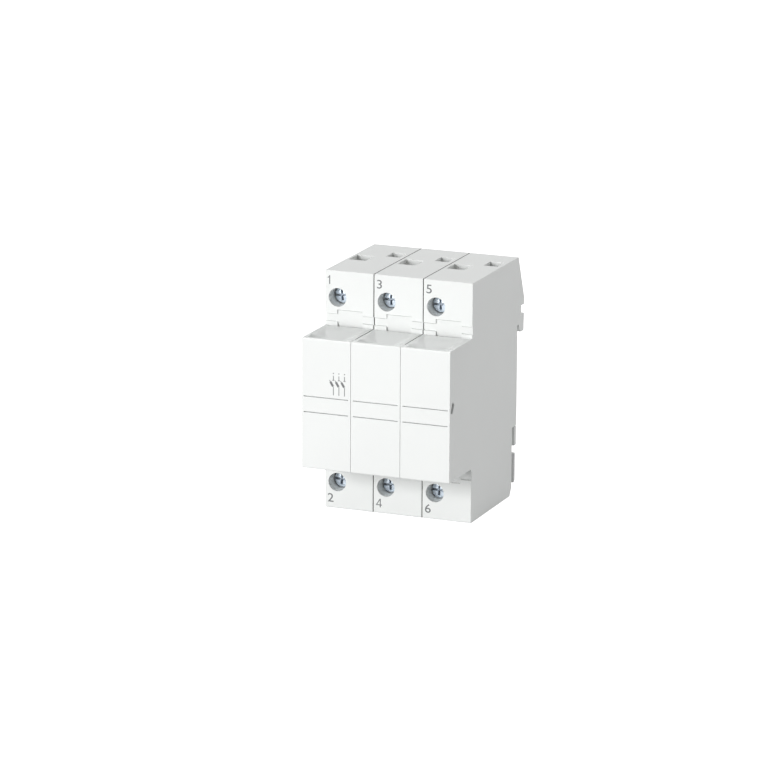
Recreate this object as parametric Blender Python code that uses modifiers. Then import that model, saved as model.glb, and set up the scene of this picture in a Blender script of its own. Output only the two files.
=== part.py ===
"""Three-pole fuse holder for 10 x 38 mm cylindrical fuses, on a 35 mm mounting rail.

Seen from the front, X runs to the right, Y runs back to the rail and Z runs up.
The origin is the middle of the face that rests on the rail. Lengths are in metres.
"""

import math

import bmesh
import bpy
from mathutils import Matrix, Vector

# Poles and outer sizes
POLES = 3
POLE_SIDE = 0.0036
POLE_GAP = 0.0003
FRONT_MARGIN = 0.0035
TERMINAL_HEIGHT = 0.0189
FRONT_PROJECTION = 0.02025
EDGE_ROUND = 0.0004

# Walls and clearances
WALL = 0.0014
FRONT_WALL = 0.0022
COVER_THICKNESS = 0.0010
PARTITION = 0.0012
PARTITION_SETBACK = 0.0006
SEAM = 0.0001
PLAY = 0.0003

# Mounting rail and the hook over its upper edge
RAIL_HALF_WIDTH = 0.0175
RAIL_THICKNESS = 0.0010
SEAT_MARGIN = 0.0007
SEAT_RELIEF = 0.0002
HOOK_DEPTH = 0.0063
HOOK_OVERLAP = 0.0028
HOOK_RISE = 0.0089
HOOK_NOTCH_RISE = 0.0064
HOOK_NOTCH_HEIGHT = 0.0031
HOOK_NOTCH_DEPTH = 0.0028
HOOK_WALL = 0.0022
LIP_LENGTH = 0.0030
LIP_LEAD = 0.0014
REAR_CHAMFER = 0.0012
REAR_SLOPE = 0.0020
TOP_EDGE_BACK = 0.0005

# Rail latch
LATCH_THICKNESS = 0.0038
LATCH_SLIT = 0.0005
LATCH_RISE = 0.0026
LATCH_STEP = 0.0010
LATCH_NOTCH_DROP = 0.0066
LATCH_NOTCH_HEIGHT = 0.0026
LATCH_NOTCH_WIDTH = 0.0025
CLAW_WIDTH = 0.0084
CLAW_DEPTH = 0.0048
CLAW_LEAD = 0.0010
CLAW_UNDERSIDE = 0.0022
CLAW_ROOT = 0.0030
TEE_STEM_WIDTH = 0.0050
TEE_STEM_DEPTH = 0.0022
TEE_HEAD_WIDTH = 0.0080
TEE_HEAD_DEPTH = 0.0014
TEE_HEIGHT = 0.0130
PULL_SLOT_WIDTH = 0.0050
PULL_SLOT_BOTTOM = 0.0020
PULL_SLOT_TOP = 0.0038

# Fuse link
FUSE_LENGTH = 0.0380
FUSE_DROP = 0.0006
CAP_RADIUS = 0.00515
CAP_LENGTH = 0.0100
CAP_WALL = 0.0004
TUBE_RADIUS = 0.00485

# Fuse drawer
PLATE_DEPTH = 0.0039
PLATE_WALL = 0.00135
RIB_DEPTH = 0.00265
CRADLE_WALL = 0.00085
CRADLE_SIDE = 0.0012
CRADLE_GAP = 0.0010
CRADLE_WRAP = 0.0030
SHELF = 0.0011
SCOOP_DEPTH = 0.0047
SCOOP_CURVE = 1.9
SCOOP_FLOOR = 0.0010
DRAWER_TOP_SETBACK = 0.0010
GROOVE = 0.0003
GROOVE_END = 0.0007
UPPER_GROOVE = 0.00245
LOWER_GROOVE = -0.00295
HINGE_SETBACK = 0.0036
EAR_RADIUS = 0.0016
EAR_THICKNESS = 0.0012
EAR_ROOT = 0.0025
TRUNNION_RADIUS = 0.0009
LUG_REACH = 0.0012
LOWEST_RIB = -0.0146
LOW_RIB = -0.0071
HIGH_RIB = 0.0074
HIGHEST_RIB = 0.0134
RIB_THICKNESS = 0.0012
CRADLE_JAW_GAP = 0.0004
TIE_SETBACK = 0.0025
TIE_HEIGHT = 0.0027
TIE_WIDTH = 0.0026
TIE_THICKNESS = 0.0005
TIE_SLANT = math.radians(30)
TIE_PLAY = 0.0002
TIE_END = 0.0013

# Terminals
BORE_WALL = 0.00025
SCREW_SETBACK = 0.0092
SCREW_SINK = 0.0041
SCREW_HEAD_RADIUS = 0.0028
SCREW_HEAD_HEIGHT = 0.0018
HEAD_ROUND = 0.0003
SCREW_SHANK_RADIUS = 0.00195
SCREW_LEDGE = 0.0011
DRIVE_SLOT = 0.0009
DRIVE_DEPTH = 0.0009
DRIVE_CROSS = 0.0040
WIRE_ENTRY_EDGE = 0.00005
WIRE_ENTRY_DEPTH = 0.0079
BUSBAR_ENTRY_WIDTH = 0.00505
BUSBAR_ENTRY_DEPTH = 0.0064
ENTRY_GAP = 0.0012
CAGE_SIDE = 0.00075
CAGE_NUT = 0.0022
CAGE_BACK = 0.0014
CAGE_HEIGHT = 0.0084
CLAMP_TRAVEL = 0.0063
CLAMP_ROOM = 0.0008
CHAMBER_DROP = 0.0009
CHAMBER_RELIEF = 0.0002
REAR_WALL = 0.0019
CHAMBER_OVERLAP = 0.0002
BAY_STEP = 0.00002

# Contacts
STRIP = 0.0008
STRIP_DROP = 0.0011
BEND = 0.0011
TANG_WIDTH = 0.0040
TANG_CLEARANCE = 0.0025
TAB_WIDTH = 0.0050
TAB_CLEARANCE = 0.0050
TAB_STRIP = 0.00072
JAW_STRIP = 0.0007
JAW_HEIGHT = 0.0080
JAW_FLARE = 0.0008
JAW_GRIP = 0.0002
JAW_BOW = 0.0003
JAW_REACH = 0.0015
JAW_BEND = 0.0030
JAW_FLAT = 0.0008
BRANCH_OVERLAP = 0.0060

# Stepped band across the terminal fronts
BAND_DEPTH = 0.0010
BAND_BOTTOM = 0.0013
BAND_TOP = 0.0040
BAND_MIDDLE_TOP = 0.0055
BAND_MIDDLE_LEFT = 0.00435
BAND_MIDDLE_RIGHT = 0.0048

# Rivets through the poles
RIVET_RADIUS = 0.0010
RIVET_HEAD_RADIUS = 0.0020
RIVET_BOSS_RADIUS = 0.0027
RIVET_FROM_FRONT = 0.0100
RIVET_FROM_RAIL = 0.0090
RIVET_HEIGHT = 0.0118
RIVET_END = 0.0015

SEGMENTS = 20
SMALL_SEGMENTS = 10
BOSS_SEGMENTS = 12
BEYOND = 0.0020
WELD = 0.000002
SHARP = math.radians(35)

# Levels that follow from the fuse link, the rail and the terminals
HALF_WIDTH = CAP_RADIUS + POLE_SIDE
POLE_PITCH = 2 * HALF_WIDTH + POLE_GAP
HALF_FRONT = FUSE_LENGTH / 2 + FRONT_MARGIN
HALF_HEIGHT = HALF_FRONT + TERMINAL_HEIGHT
TOP_INSIDE = HALF_HEIGHT - WALL
CHAMBER_FLOOR = HALF_FRONT - CHAMBER_DROP
CHANNEL_TOP = CHAMBER_FLOOR + CHAMBER_OVERLAP
STRIP_LEVEL = CHAMBER_FLOOR - STRIP_DROP
CHANNEL_FLOOR = STRIP_LEVEL - STRIP / 2 - PLAY
TANG_TOP = TOP_INSIDE - TANG_CLEARANCE
TAB_TOP = TOP_INSIDE - TAB_CLEARANCE
SCREW_LEVEL = HALF_HEIGHT - SCREW_SETBACK
LIP_LEVEL = RAIL_HALF_WIDTH - HOOK_OVERLAP
SEAT_LEVEL = LIP_LEVEL - SEAT_MARGIN
HOOK_TOP = RAIL_HALF_WIDTH + HOOK_RISE
HOOK_NOTCH_TOP = RAIL_HALF_WIDTH + HOOK_NOTCH_RISE
HOOK_NOTCH_BOTTOM = HOOK_NOTCH_TOP - HOOK_NOTCH_HEIGHT
LATCH_TOP = -RAIL_HALF_WIDTH - PLAY
LATCH_BOTTOM = LATCH_RISE - HALF_HEIGHT
RUNNER_TOP = LATCH_TOP - (LATCH_TOP - LATCH_BOTTOM - TEE_HEIGHT) / 3
FUSE_TOP = FUSE_LENGTH / 2 - FUSE_DROP
FUSE_BOTTOM = -FUSE_LENGTH / 2 - FUSE_DROP
CRADLE_HALF_HEIGHT = FUSE_LENGTH / 2 - CAP_LENGTH - CRADLE_GAP
HINGE_Z = EAR_RADIUS - HALF_FRONT
BAY_FLOOR = HINGE_Z - PLAY

# Depths, from the rail forward through the clamps to the terminal front and the drawer
SLOT_BACK = RAIL_THICKNESS + PLAY
SLIT_FRONT = -LATCH_THICKNESS - LATCH_SLIT
GUIDE_FRONT = -LATCH_THICKNESS - TEE_STEM_DEPTH - TEE_HEAD_DEPTH - PLAY
CHAMBER_BACK = GUIDE_FRONT - REAR_WALL
BUSBAR_BACK = CHAMBER_BACK - CHAMBER_RELIEF
BUSBAR_FRONT = BUSBAR_BACK - BUSBAR_ENTRY_DEPTH
TAB_Y = BUSBAR_FRONT - STRIP / 2 - PLAY
WIRE_BACK = BUSBAR_FRONT - ENTRY_GAP
WIRE_FRONT = WIRE_BACK - WIRE_ENTRY_DEPTH
TANG_Y = WIRE_FRONT - STRIP / 2
SCREW_TIP = TANG_Y - STRIP / 2 - PLAY
NUT_FRONT = SCREW_TIP - CAGE_NUT
LEDGE_BACK = NUT_FRONT - CLAMP_TRAVEL - CLAMP_ROOM
LEDGE_FRONT = LEDGE_BACK - SCREW_LEDGE
HEAD_BACK = LEDGE_FRONT - PLAY
HEAD_FRONT = HEAD_BACK - SCREW_HEAD_HEIGHT
TERMINAL_FRONT = HEAD_FRONT - SCREW_SINK
PARTITION_FRONT = TERMINAL_FRONT + PARTITION_SETBACK
CHANNEL_FRONT = PARTITION_FRONT - PLAY
CHANNEL_BACK = TAB_Y + STRIP
CONTACT_Y = PARTITION_FRONT - PLAY - STRIP / 2
DRAWER_TOP_BACK = TERMINAL_FRONT - DRAWER_TOP_SETBACK
DRAWER_FRONT = TERMINAL_FRONT - FRONT_PROJECTION
PLATE_BACK = DRAWER_FRONT + PLATE_DEPTH
CHEEK_FRONT = PLATE_BACK + PLAY
HINGE_Y = DRAWER_FRONT + HINGE_SETBACK
CRADLE_FRONT = DRAWER_FRONT + PLATE_WALL + RIB_DEPTH
CRADLE_RADIUS = CAP_RADIUS + PLAY
FUSE_Y = CRADLE_FRONT + CRADLE_WALL + CRADLE_RADIUS
DISC_RADIUS = EAR_RADIUS + SEAM
RELIEF_RADIUS = DISC_RADIUS + PLAY

# Places across one pole, from its cover on the left to its wall on the right
COVER_INNER = -HALF_WIDTH + COVER_THICKNESS
TRAY_RIM = COVER_INNER + SEAM
WALL_INNER = HALF_WIDTH - WALL
DRAWER_LEFT = COVER_INNER + PLAY
DRAWER_RIGHT = WALL_INNER - PLAY
HOLLOW_LEFT = DRAWER_LEFT + SEAM
HOLLOW_RIGHT = DRAWER_RIGHT - SEAM
EAR_LEFT = HOLLOW_LEFT + PLAY
EAR_RIGHT = HOLLOW_RIGHT - PLAY
LUG_LEFT = EAR_LEFT + EAR_THICKNESS + PLAY
LUG_RIGHT = EAR_RIGHT - EAR_THICKNESS - PLAY
BORE_RADIUS = SCREW_HEAD_RADIUS + PLAY
SCREW_X = TRAY_RIM + BORE_WALL + BORE_RADIUS
CAGE_LEFT = COVER_INNER + PLAY
CAGE_RIGHT = 2 * SCREW_X - CAGE_LEFT
DIVIDER_LEFT = CAGE_RIGHT + PLAY
DIVIDER_RIGHT = DIVIDER_LEFT + PARTITION
POLE_PLACES = [(number - (POLES - 1) / 2) * POLE_PITCH for number in range(POLES)]
RIVET_DEPTHS = (TERMINAL_FRONT + RIVET_FROM_FRONT, -RIVET_FROM_RAIL)
RIVET_PLACES = [(depth, side * RIVET_HEIGHT) for side in (1, -1) for depth in RIVET_DEPTHS]

# Local axes of a drawn outline: it is extruded along X, Y or Z
DRAWN_ALONG = {
    "X": Matrix(((0, 0, 1, 0), (1, 0, 0, 0), (0, 1, 0, 0), (0, 0, 0, 1))),
    "Y": Matrix(((1, 0, 0, 0), (0, 0, -1, 0), (0, 1, 0, 0), (0, 0, 0, 1))),
    "Z": Matrix.Identity(4),
}
TURNED_ALONG = {
    "X": Matrix.Rotation(math.pi / 2, 4, "Y"),
    "Y": Matrix.Rotation(-math.pi / 2, 4, "X"),
    "Z": Matrix.Identity(4),
}


def clear_scene():
    for obj in list(bpy.data.objects):
        bpy.data.objects.remove(obj, do_unlink=True)


def new_collection(name):
    collection = bpy.data.collections.new(name)
    bpy.context.scene.collection.children.link(collection)
    return collection


def new_material(name, colour, roughness, metallic=0.0):
    material = bpy.data.materials.new(name)
    material.use_nodes = True
    shader = material.node_tree.nodes["Principled BSDF"]
    shader.inputs["Base Color"].default_value = (*colour, 1)
    shader.inputs["Roughness"].default_value = roughness
    shader.inputs["Metallic"].default_value = metallic
    material.diffuse_color = (*colour, 1)
    return material


clear_scene()
parts = new_collection("fuse_holder")
cutters = new_collection("cutters")
cutters.hide_render = True

housing_plastic = new_material("housing_plastic", (0.80, 0.81, 0.80), 0.45)
drawer_plastic = new_material("drawer_plastic", (0.86, 0.87, 0.86), 0.40)
latch_plastic = new_material("latch_plastic", (0.72, 0.73, 0.72), 0.50)
ceramic = new_material("ceramic", (0.85, 0.83, 0.78), 0.35)
nickel = new_material("nickel", (0.72, 0.71, 0.68), 0.25, 1.0)
zinc = new_material("zinc", (0.62, 0.66, 0.70), 0.30, 1.0)
silvered_copper = new_material("silvered_copper", (0.80, 0.74, 0.66), 0.30, 1.0)
steel = new_material("steel", (0.55, 0.56, 0.58), 0.35, 1.0)


def stock(name, mesh):
    """A helper solid, which only cuts or joins."""
    obj = bpy.data.objects.new(name, mesh)
    obj.hide_render = True
    obj.display_type = "WIRE"
    cutters.objects.link(obj)
    return obj


def mesh_of(bm, name):
    bmesh.ops.recalc_face_normals(bm, faces=bm.faces)
    mesh = bpy.data.meshes.new(name)
    bm.to_mesh(mesh)
    bm.free()
    return mesh


def evaluated_mesh(obj):
    bpy.context.view_layer.update()
    graph = bpy.context.evaluated_depsgraph_get()
    return bpy.data.meshes.new_from_object(obj.evaluated_get(graph))


def box(name, x, y, z):
    """A block between two X, two Y and two Z values."""
    bm = bmesh.new()
    bmesh.ops.create_cube(bm, size=1)
    size = Vector((x[1] - x[0], y[1] - y[0], z[1] - z[0]))
    middle = Vector((x[0] + x[1], y[0] + y[1], z[0] + z[1])) / 2
    bmesh.ops.transform(bm, matrix=Matrix.LocRotScale(middle, None, size), verts=bm.verts)
    return stock(name, mesh_of(bm, name))


def rod(name, axis, middle, radius, span, segments=SEGMENTS, end_radius=None):
    """A cylinder, or a cone, along X, Y or Z between two values of that axis."""
    place = Vector(middle)
    place["XYZ".index(axis)] = sum(span) / 2
    bm = bmesh.new()
    bmesh.ops.create_cone(
        bm,
        cap_ends=True,
        segments=segments,
        radius1=radius,
        radius2=radius if end_radius is None else end_radius,
        depth=span[1] - span[0],
        matrix=Matrix.Translation(place) @ TURNED_ALONG[axis],
    )
    return stock(name, mesh_of(bm, name))


def prism(name, outline, span, axis="X"):
    """A closed outline drawn as a filled curve and extruded between two values of an axis."""
    curve = bpy.data.curves.new(name, "CURVE")
    curve.dimensions = "2D"
    curve.fill_mode = "BOTH"
    curve.extrude = (span[1] - span[0]) / 2
    spline = curve.splines.new("POLY")
    spline.points.add(len(outline) - 1)
    for point, (u, v) in zip(spline.points, outline):
        point.co = (u, v, 0, 1)
    spline.use_cyclic_u = True
    drawn = bpy.data.objects.new(name, curve)
    cutters.objects.link(drawn)
    middle = Vector((0, 0, 0))
    middle["XYZ".index(axis)] = sum(span) / 2
    drawn.matrix_world = Matrix.Translation(middle) @ DRAWN_ALONG[axis]
    mesh = evaluated_mesh(drawn)
    mesh.transform(drawn.matrix_world)
    bpy.data.objects.remove(drawn)
    bm = bmesh.new()
    bm.from_mesh(mesh)
    bmesh.ops.remove_doubles(bm, verts=bm.verts, dist=WELD)
    bmesh.ops.dissolve_limit(bm, angle_limit=0.001, verts=bm.verts, edges=bm.edges)
    return stock(name, mesh_of(bm, name))


def bent_strip(name, path, span, thickness, axis):
    """Sheet metal: an open path swept along an axis and given its thickness by Solidify."""
    bm = bmesh.new()
    rows = []
    for value in span:
        row = [bm.verts.new(DRAWN_ALONG[axis] @ Vector((u, v, 0))) for u, v in path]
        for vert in row:
            vert.co["XYZ".index(axis)] = value
        rows.append(row)
    for number in range(len(path) - 1):
        bm.faces.new((rows[0][number], rows[0][number + 1], rows[1][number + 1], rows[1][number]))
    sheet = stock(name, mesh_of(bm, name))
    solidify = sheet.modifiers.new("thickness", "SOLIDIFY")
    solidify.thickness = thickness
    solidify.offset = 0
    solidify.use_even_offset = True
    return sheet


def boolean(target, other, operation):
    modifier = target.modifiers.new(other.name, "BOOLEAN")
    modifier.operation = operation
    modifier.solver = "EXACT"
    modifier.object = other


def combined(base, joined=(), cut=()):
    """The base with solids joined to it and then others cut away, as one mesh."""
    for other in joined:
        boolean(base, other, "UNION")
    for other in cut:
        boolean(base, other, "DIFFERENCE")
    mesh = evaluated_mesh(base)
    bm = bmesh.new()
    bm.from_mesh(mesh)
    bmesh.ops.remove_doubles(bm, verts=bm.verts, dist=WELD)
    bm.to_mesh(mesh)
    bm.free()
    mesh.shade_smooth()
    mesh.set_sharp_from_angle(angle=SHARP)
    return mesh


def place(name, mesh, material, location=(0, 0, 0), parent=None):
    """A finished piece in the scene. Its mesh may be shared with another pole."""
    obj = bpy.data.objects.new(name, mesh)
    if not mesh.materials:
        mesh.materials.append(material)
    parts.objects.link(obj)
    obj.location = location
    if parent:
        obj.parent = parent
        obj.matrix_parent_inverse = parent.matrix_world.inverted()
    return obj


def pivot(name, location):
    """An empty on a joint's axis, which carries the pieces that move with it."""
    empty = bpy.data.objects.new(name, None)
    empty.empty_display_size = 0.005
    empty.location = location
    parts.objects.link(empty)
    bpy.context.view_layer.update()
    return empty


def arc(centre, radius, start, end, steps):
    """Points on an arc, with angles in degrees from the first axis."""
    points = []
    for step in range(steps + 1):
        angle = math.radians(start + (end - start) * step / steps)
        points.append((centre[0] + radius * math.cos(angle), centre[1] + radius * math.sin(angle)))
    return points


def with_bends(path, radius, steps=3):
    """An open path whose inner corners are rounded."""
    bent = [path[0]]
    for before, corner, after in zip(path, path[1:], path[2:]):
        corner = Vector(corner)
        arrive = (Vector(before) - corner).normalized() * radius
        leave = (Vector(after) - corner).normalized() * radius
        for step in range(steps + 1):
            t = step / steps
            bent.append(tuple(corner + arrive * (1 - t) ** 2 + leave * t**2))
    bent.append(path[-1])
    return bent


def mirrored(outline, side):
    """The outline for the upper terminal (side 1), or turned over for the lower one (side -1)."""
    return [(y, side * z) for y, z in outline]


def between(low, high, side):
    return tuple(sorted((side * low, side * high)))


def housing_outline():
    """Side view of the housing as (y, z), from the top of the terminal front round the back."""
    hinge = (HINGE_Y, HINGE_Z)
    relief_end = math.degrees(math.acos((CHEEK_FRONT - HINGE_Y) / RELIEF_RADIUS))
    slot_top = RAIL_HALF_WIDTH + PLAY / 2
    rear_corner = SLIT_FRONT - LATCH_SLIT - REAR_CHAMFER
    return [
        (TERMINAL_FRONT, HALF_HEIGHT),
        (TOP_EDGE_BACK, HALF_HEIGHT),
        (HOOK_DEPTH, HOOK_TOP),
        (HOOK_DEPTH, HOOK_NOTCH_TOP),
        (HOOK_DEPTH - HOOK_NOTCH_DEPTH, HOOK_NOTCH_TOP),
        (HOOK_DEPTH - HOOK_NOTCH_DEPTH, HOOK_NOTCH_BOTTOM),
        (HOOK_DEPTH, HOOK_NOTCH_BOTTOM),
        (HOOK_DEPTH - PLAY, LIP_LEVEL),
        (HOOK_DEPTH - LIP_LENGTH, LIP_LEVEL),
        (SLOT_BACK, LIP_LEVEL + LIP_LEAD),
        (SLOT_BACK, slot_top),
        (-SEAT_RELIEF, slot_top),
        (-SEAT_RELIEF, SEAT_LEVEL),
        (0, SEAT_LEVEL),
        (0, -SEAT_LEVEL),
        (-SEAT_RELIEF, -SEAT_LEVEL),
        (-SEAT_RELIEF, LATCH_TOP + PLAY),
        (SLIT_FRONT, LATCH_TOP + PLAY),
        (SLIT_FRONT, LATCH_BOTTOM),
        (rear_corner, -HALF_HEIGHT),
        (TERMINAL_FRONT, -HALF_HEIGHT),
        (TERMINAL_FRONT, -HALF_FRONT),
        (HINGE_Y + RELIEF_RADIUS, -HALF_FRONT),
        *arc(hinge, RELIEF_RADIUS, 0, relief_end, 6),
        (CHEEK_FRONT, HALF_FRONT),
        (TERMINAL_FRONT, HALF_FRONT),
    ]


def ear(name, span):
    """Bearing ear of the drawer hinge, which stands on the floor of the fuse bay."""
    root = HINGE_Y + RELIEF_RADIUS + EAR_ROOT
    outline = [
        *arc((HINGE_Y, HINGE_Z), EAR_RADIUS, 90, 260, 10),
        (root, (BAY_FLOOR - HALF_FRONT) / 2),
        (root, HINGE_Z + EAR_RADIUS),
    ]
    return prism(name, outline, span)


def terminal_pockets(side):
    """What is hollow behind one terminal front: chambers for the clamp and for the busbar tab."""
    screw_z = side * SCREW_LEVEL
    front_inside = TERMINAL_FRONT + FRONT_WALL
    boss = BORE_RADIUS + WALL
    left = TRAY_RIM - BEYOND
    entry_z = between(TOP_INSIDE - BEYOND, HALF_HEIGHT + BEYOND, side)
    clamp = [
        (front_inside, CHAMBER_FLOOR),
        (front_inside, SCREW_LEVEL - boss),
        (LEDGE_BACK, SCREW_LEVEL - boss),
        (LEDGE_BACK, SCREW_LEVEL + boss),
        (front_inside, SCREW_LEVEL + boss),
        (front_inside, TOP_INSIDE),
        (CHAMBER_BACK, TOP_INSIDE),
        (CHAMBER_BACK, CHAMBER_FLOOR),
    ]
    return [
        prism("clamp_chamber", mirrored(clamp, side), (left, DIVIDER_LEFT)),
        box(
            "busbar_chamber",
            (DIVIDER_RIGHT, WALL_INNER),
            (front_inside, CHAMBER_BACK),
            between(CHAMBER_FLOOR, TOP_INSIDE, side),
        ),
        box("wire_entry", (left, CAGE_RIGHT - WIRE_ENTRY_EDGE), (WIRE_FRONT, WIRE_BACK), entry_z),
        box(
            "busbar_entry",
            (WALL_INNER - BUSBAR_ENTRY_WIDTH, WALL_INNER),
            (BUSBAR_FRONT, BUSBAR_BACK),
            entry_z,
        ),
        rod(
            "screw_access",
            "Y",
            (SCREW_X, 0, screw_z),
            BORE_RADIUS,
            (TERMINAL_FRONT - BEYOND, LEDGE_FRONT),
        ),
        rod(
            "shank_hole",
            "Y",
            (SCREW_X, 0, screw_z),
            SCREW_SHANK_RADIUS + PLAY,
            (LEDGE_FRONT - BEYOND, LEDGE_BACK + BEYOND),
            SMALL_SEGMENTS,
        ),
    ]


def band_cutters(side):
    """Stepped recess across a terminal front, taller in its middle than at its ends."""
    depth = (TERMINAL_FRONT - BEYOND, TERMINAL_FRONT + BAND_DEPTH)
    ends_x = (-HALF_WIDTH - BEYOND, HALF_WIDTH + BEYOND)
    middle_x = (-BAND_MIDDLE_LEFT, BAND_MIDDLE_RIGHT)
    return [
        box("band_ends", ends_x, depth, between(HALF_FRONT + BAND_BOTTOM, HALF_FRONT + BAND_TOP, side)),
        box(
            "band_middle",
            middle_x,
            depth,
            between(HALF_FRONT - BEYOND, HALF_FRONT + BAND_MIDDLE_TOP, side),
        ),
    ]


def latch_guide():
    """Undercut channel in the back of the housing in which the latch slides."""
    top = RUNNER_TOP + PLAY
    neck = SLIT_FRONT - (TEE_STEM_DEPTH - TEE_HEAD_DEPTH)
    stem = TEE_STEM_WIDTH / 2 + PLAY
    head = TEE_HEAD_WIDTH / 2 + PLAY
    below = -HALF_HEIGHT - BEYOND
    return [
        box("guide_neck", (-stem, stem), (GUIDE_FRONT, SLIT_FRONT + BEYOND), (below, top)),
        box("guide_head", (-head, head), (GUIDE_FRONT, neck - PLAY), (below, top)),
    ]


def tray_mesh(is_last):
    """One pole's housing: a deep tray, open on its left, that holds everything inside the pole."""
    left = TRAY_RIM - BEYOND
    body = prism("tray_block", housing_outline(), (TRAY_RIM, HALF_WIDTH))
    front = CHEEK_FRONT - BEYOND
    mouth_back = HINGE_Y + RELIEF_RADIUS
    above = HALF_FRONT + BEYOND
    drawer_back = TERMINAL_FRONT - BAY_STEP
    bay = [
        (front, -above),
        (mouth_back, -above),
        (mouth_back, BAY_FLOOR),
        (CHANNEL_FRONT, BAY_FLOOR),
        (CHANNEL_FRONT, -CHANNEL_TOP),
        (CHANNEL_BACK, -CHANNEL_TOP),
        (CHANNEL_BACK, -CHANNEL_FLOOR),
        (PARTITION_FRONT, -CHANNEL_FLOOR),
        (PARTITION_FRONT, CHANNEL_FLOOR),
        (CHANNEL_BACK, CHANNEL_FLOOR),
        (CHANNEL_BACK, CHANNEL_TOP),
        (CHANNEL_FRONT, CHANNEL_TOP),
        (CHANNEL_FRONT, CHAMBER_FLOOR),
        (drawer_back, CHAMBER_FLOOR),
        (drawer_back, above),
        (front, above),
    ]
    rear_top = CHANNEL_FLOOR - WALL
    rear = [
        (PARTITION_FRONT + WALL, -rear_top),
        (PARTITION_FRONT + WALL, rear_top),
        (-WALL, rear_top - REAR_SLOPE),
        (-WALL, -SEAT_LEVEL),
        (SLIT_FRONT - WALL, -SEAT_LEVEL - WALL),
        (SLIT_FRONT - WALL, -rear_top),
    ]
    hook = [
        (CHAMBER_BACK + WALL, TOP_INSIDE),
        (-WALL, TOP_INSIDE),
        (HOOK_DEPTH - HOOK_WALL, HOOK_TOP),
        (HOOK_DEPTH - HOOK_WALL, HOOK_NOTCH_TOP + WALL),
        (CHAMBER_BACK + WALL, HOOK_NOTCH_TOP + WALL),
    ]
    bosses = []
    holes = []
    boss_span = (TRAY_RIM, HALF_WIDTH - WALL / 2)
    hole_end = HALF_WIDTH - 2 * RIVET_END if is_last else HALF_WIDTH + BEYOND
    for y, z in RIVET_PLACES:
        bosses.append(
            rod("rivet_boss", "X", (0, y, z), RIVET_BOSS_RADIUS, boss_span, BOSS_SEGMENTS)
        )
        holes.append(
            rod("rivet_hole", "X", (0, y, z), RIVET_RADIUS + PLAY, (left, hole_end), SMALL_SEGMENTS)
        )
    hollowed = combined(
        body,
        cut=[
            *band_cutters(1),
            *band_cutters(-1),
            prism("fuse_bay", bay, (left, WALL_INNER)),
            prism("rear_hollow", rear, (left, WALL_INNER)),
            prism("hook_hollow", hook, (left, WALL_INNER)),
            *terminal_pockets(1),
            *terminal_pockets(-1),
            *latch_guide(),
        ],
    )
    trimmed = stock("tray_hollowed", hollowed)
    ears = [
        ear("ear_left", (EAR_LEFT, EAR_LEFT + EAR_THICKNESS)),
        ear("ear_right", (EAR_RIGHT - EAR_THICKNESS, EAR_RIGHT)),
    ]
    bearing = rod(
        "bearing_hole",
        "X",
        (0, HINGE_Y, HINGE_Z),
        TRUNNION_RADIUS + PLAY,
        (EAR_LEFT - PLAY / 2, EAR_RIGHT + PLAY / 2),
        SMALL_SEGMENTS,
    )
    return combined(trimmed, joined=[*bosses, *ears], cut=[*holes, bearing])


def cover_mesh(is_first):
    """Flat cover that closes a tray. The first one also leaves room for the rivet heads."""
    plate = prism("cover_plate", housing_outline(), (-HALF_WIDTH, COVER_INNER))
    radius = RIVET_HEAD_RADIUS if is_first else RIVET_RADIUS
    span = (-HALF_WIDTH - BEYOND, COVER_INNER + BEYOND)
    cuts = [
        rod("cover_hole", "X", (0, y, z), radius + PLAY, span, SMALL_SEGMENTS)
        for y, z in RIVET_PLACES
    ]
    return combined(plate, cut=[*cuts, *band_cutters(1), *band_cutters(-1)])


def scoop_height(y):
    """Height of the finger scoop's floor, deepest behind the lip and level at the back."""
    start = DRAWER_FRONT + PLATE_WALL
    run = (y - start) / (DRAWER_TOP_BACK - start)
    return HALF_FRONT - SCOOP_DEPTH * (1 - run) ** SCOOP_CURVE


def scoop_profile(start, steps=10):
    """Points of the scoop's floor from front to back."""
    return [
        (y, scoop_height(y))
        for y in (start + (DRAWER_TOP_BACK - start) * step / steps for step in range(steps + 1))
    ]


def tie_section(name, play, span):
    """The slanted flat strip that ties the drawers together, or the slot it passes through."""
    centre = Vector((DRAWER_FRONT + TIE_SETBACK, TIE_HEIGHT))
    along = Vector((math.sin(TIE_SLANT), math.cos(TIE_SLANT))) * (TIE_WIDTH / 2 + play)
    across = Vector((math.cos(TIE_SLANT), -math.sin(TIE_SLANT))) * (TIE_THICKNESS / 2 + play)
    corners = [centre + along + across, centre + along - across]
    corners += [centre - along - across, centre - along + across]
    return prism(name, [tuple(corner) for corner in corners], span)


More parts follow.
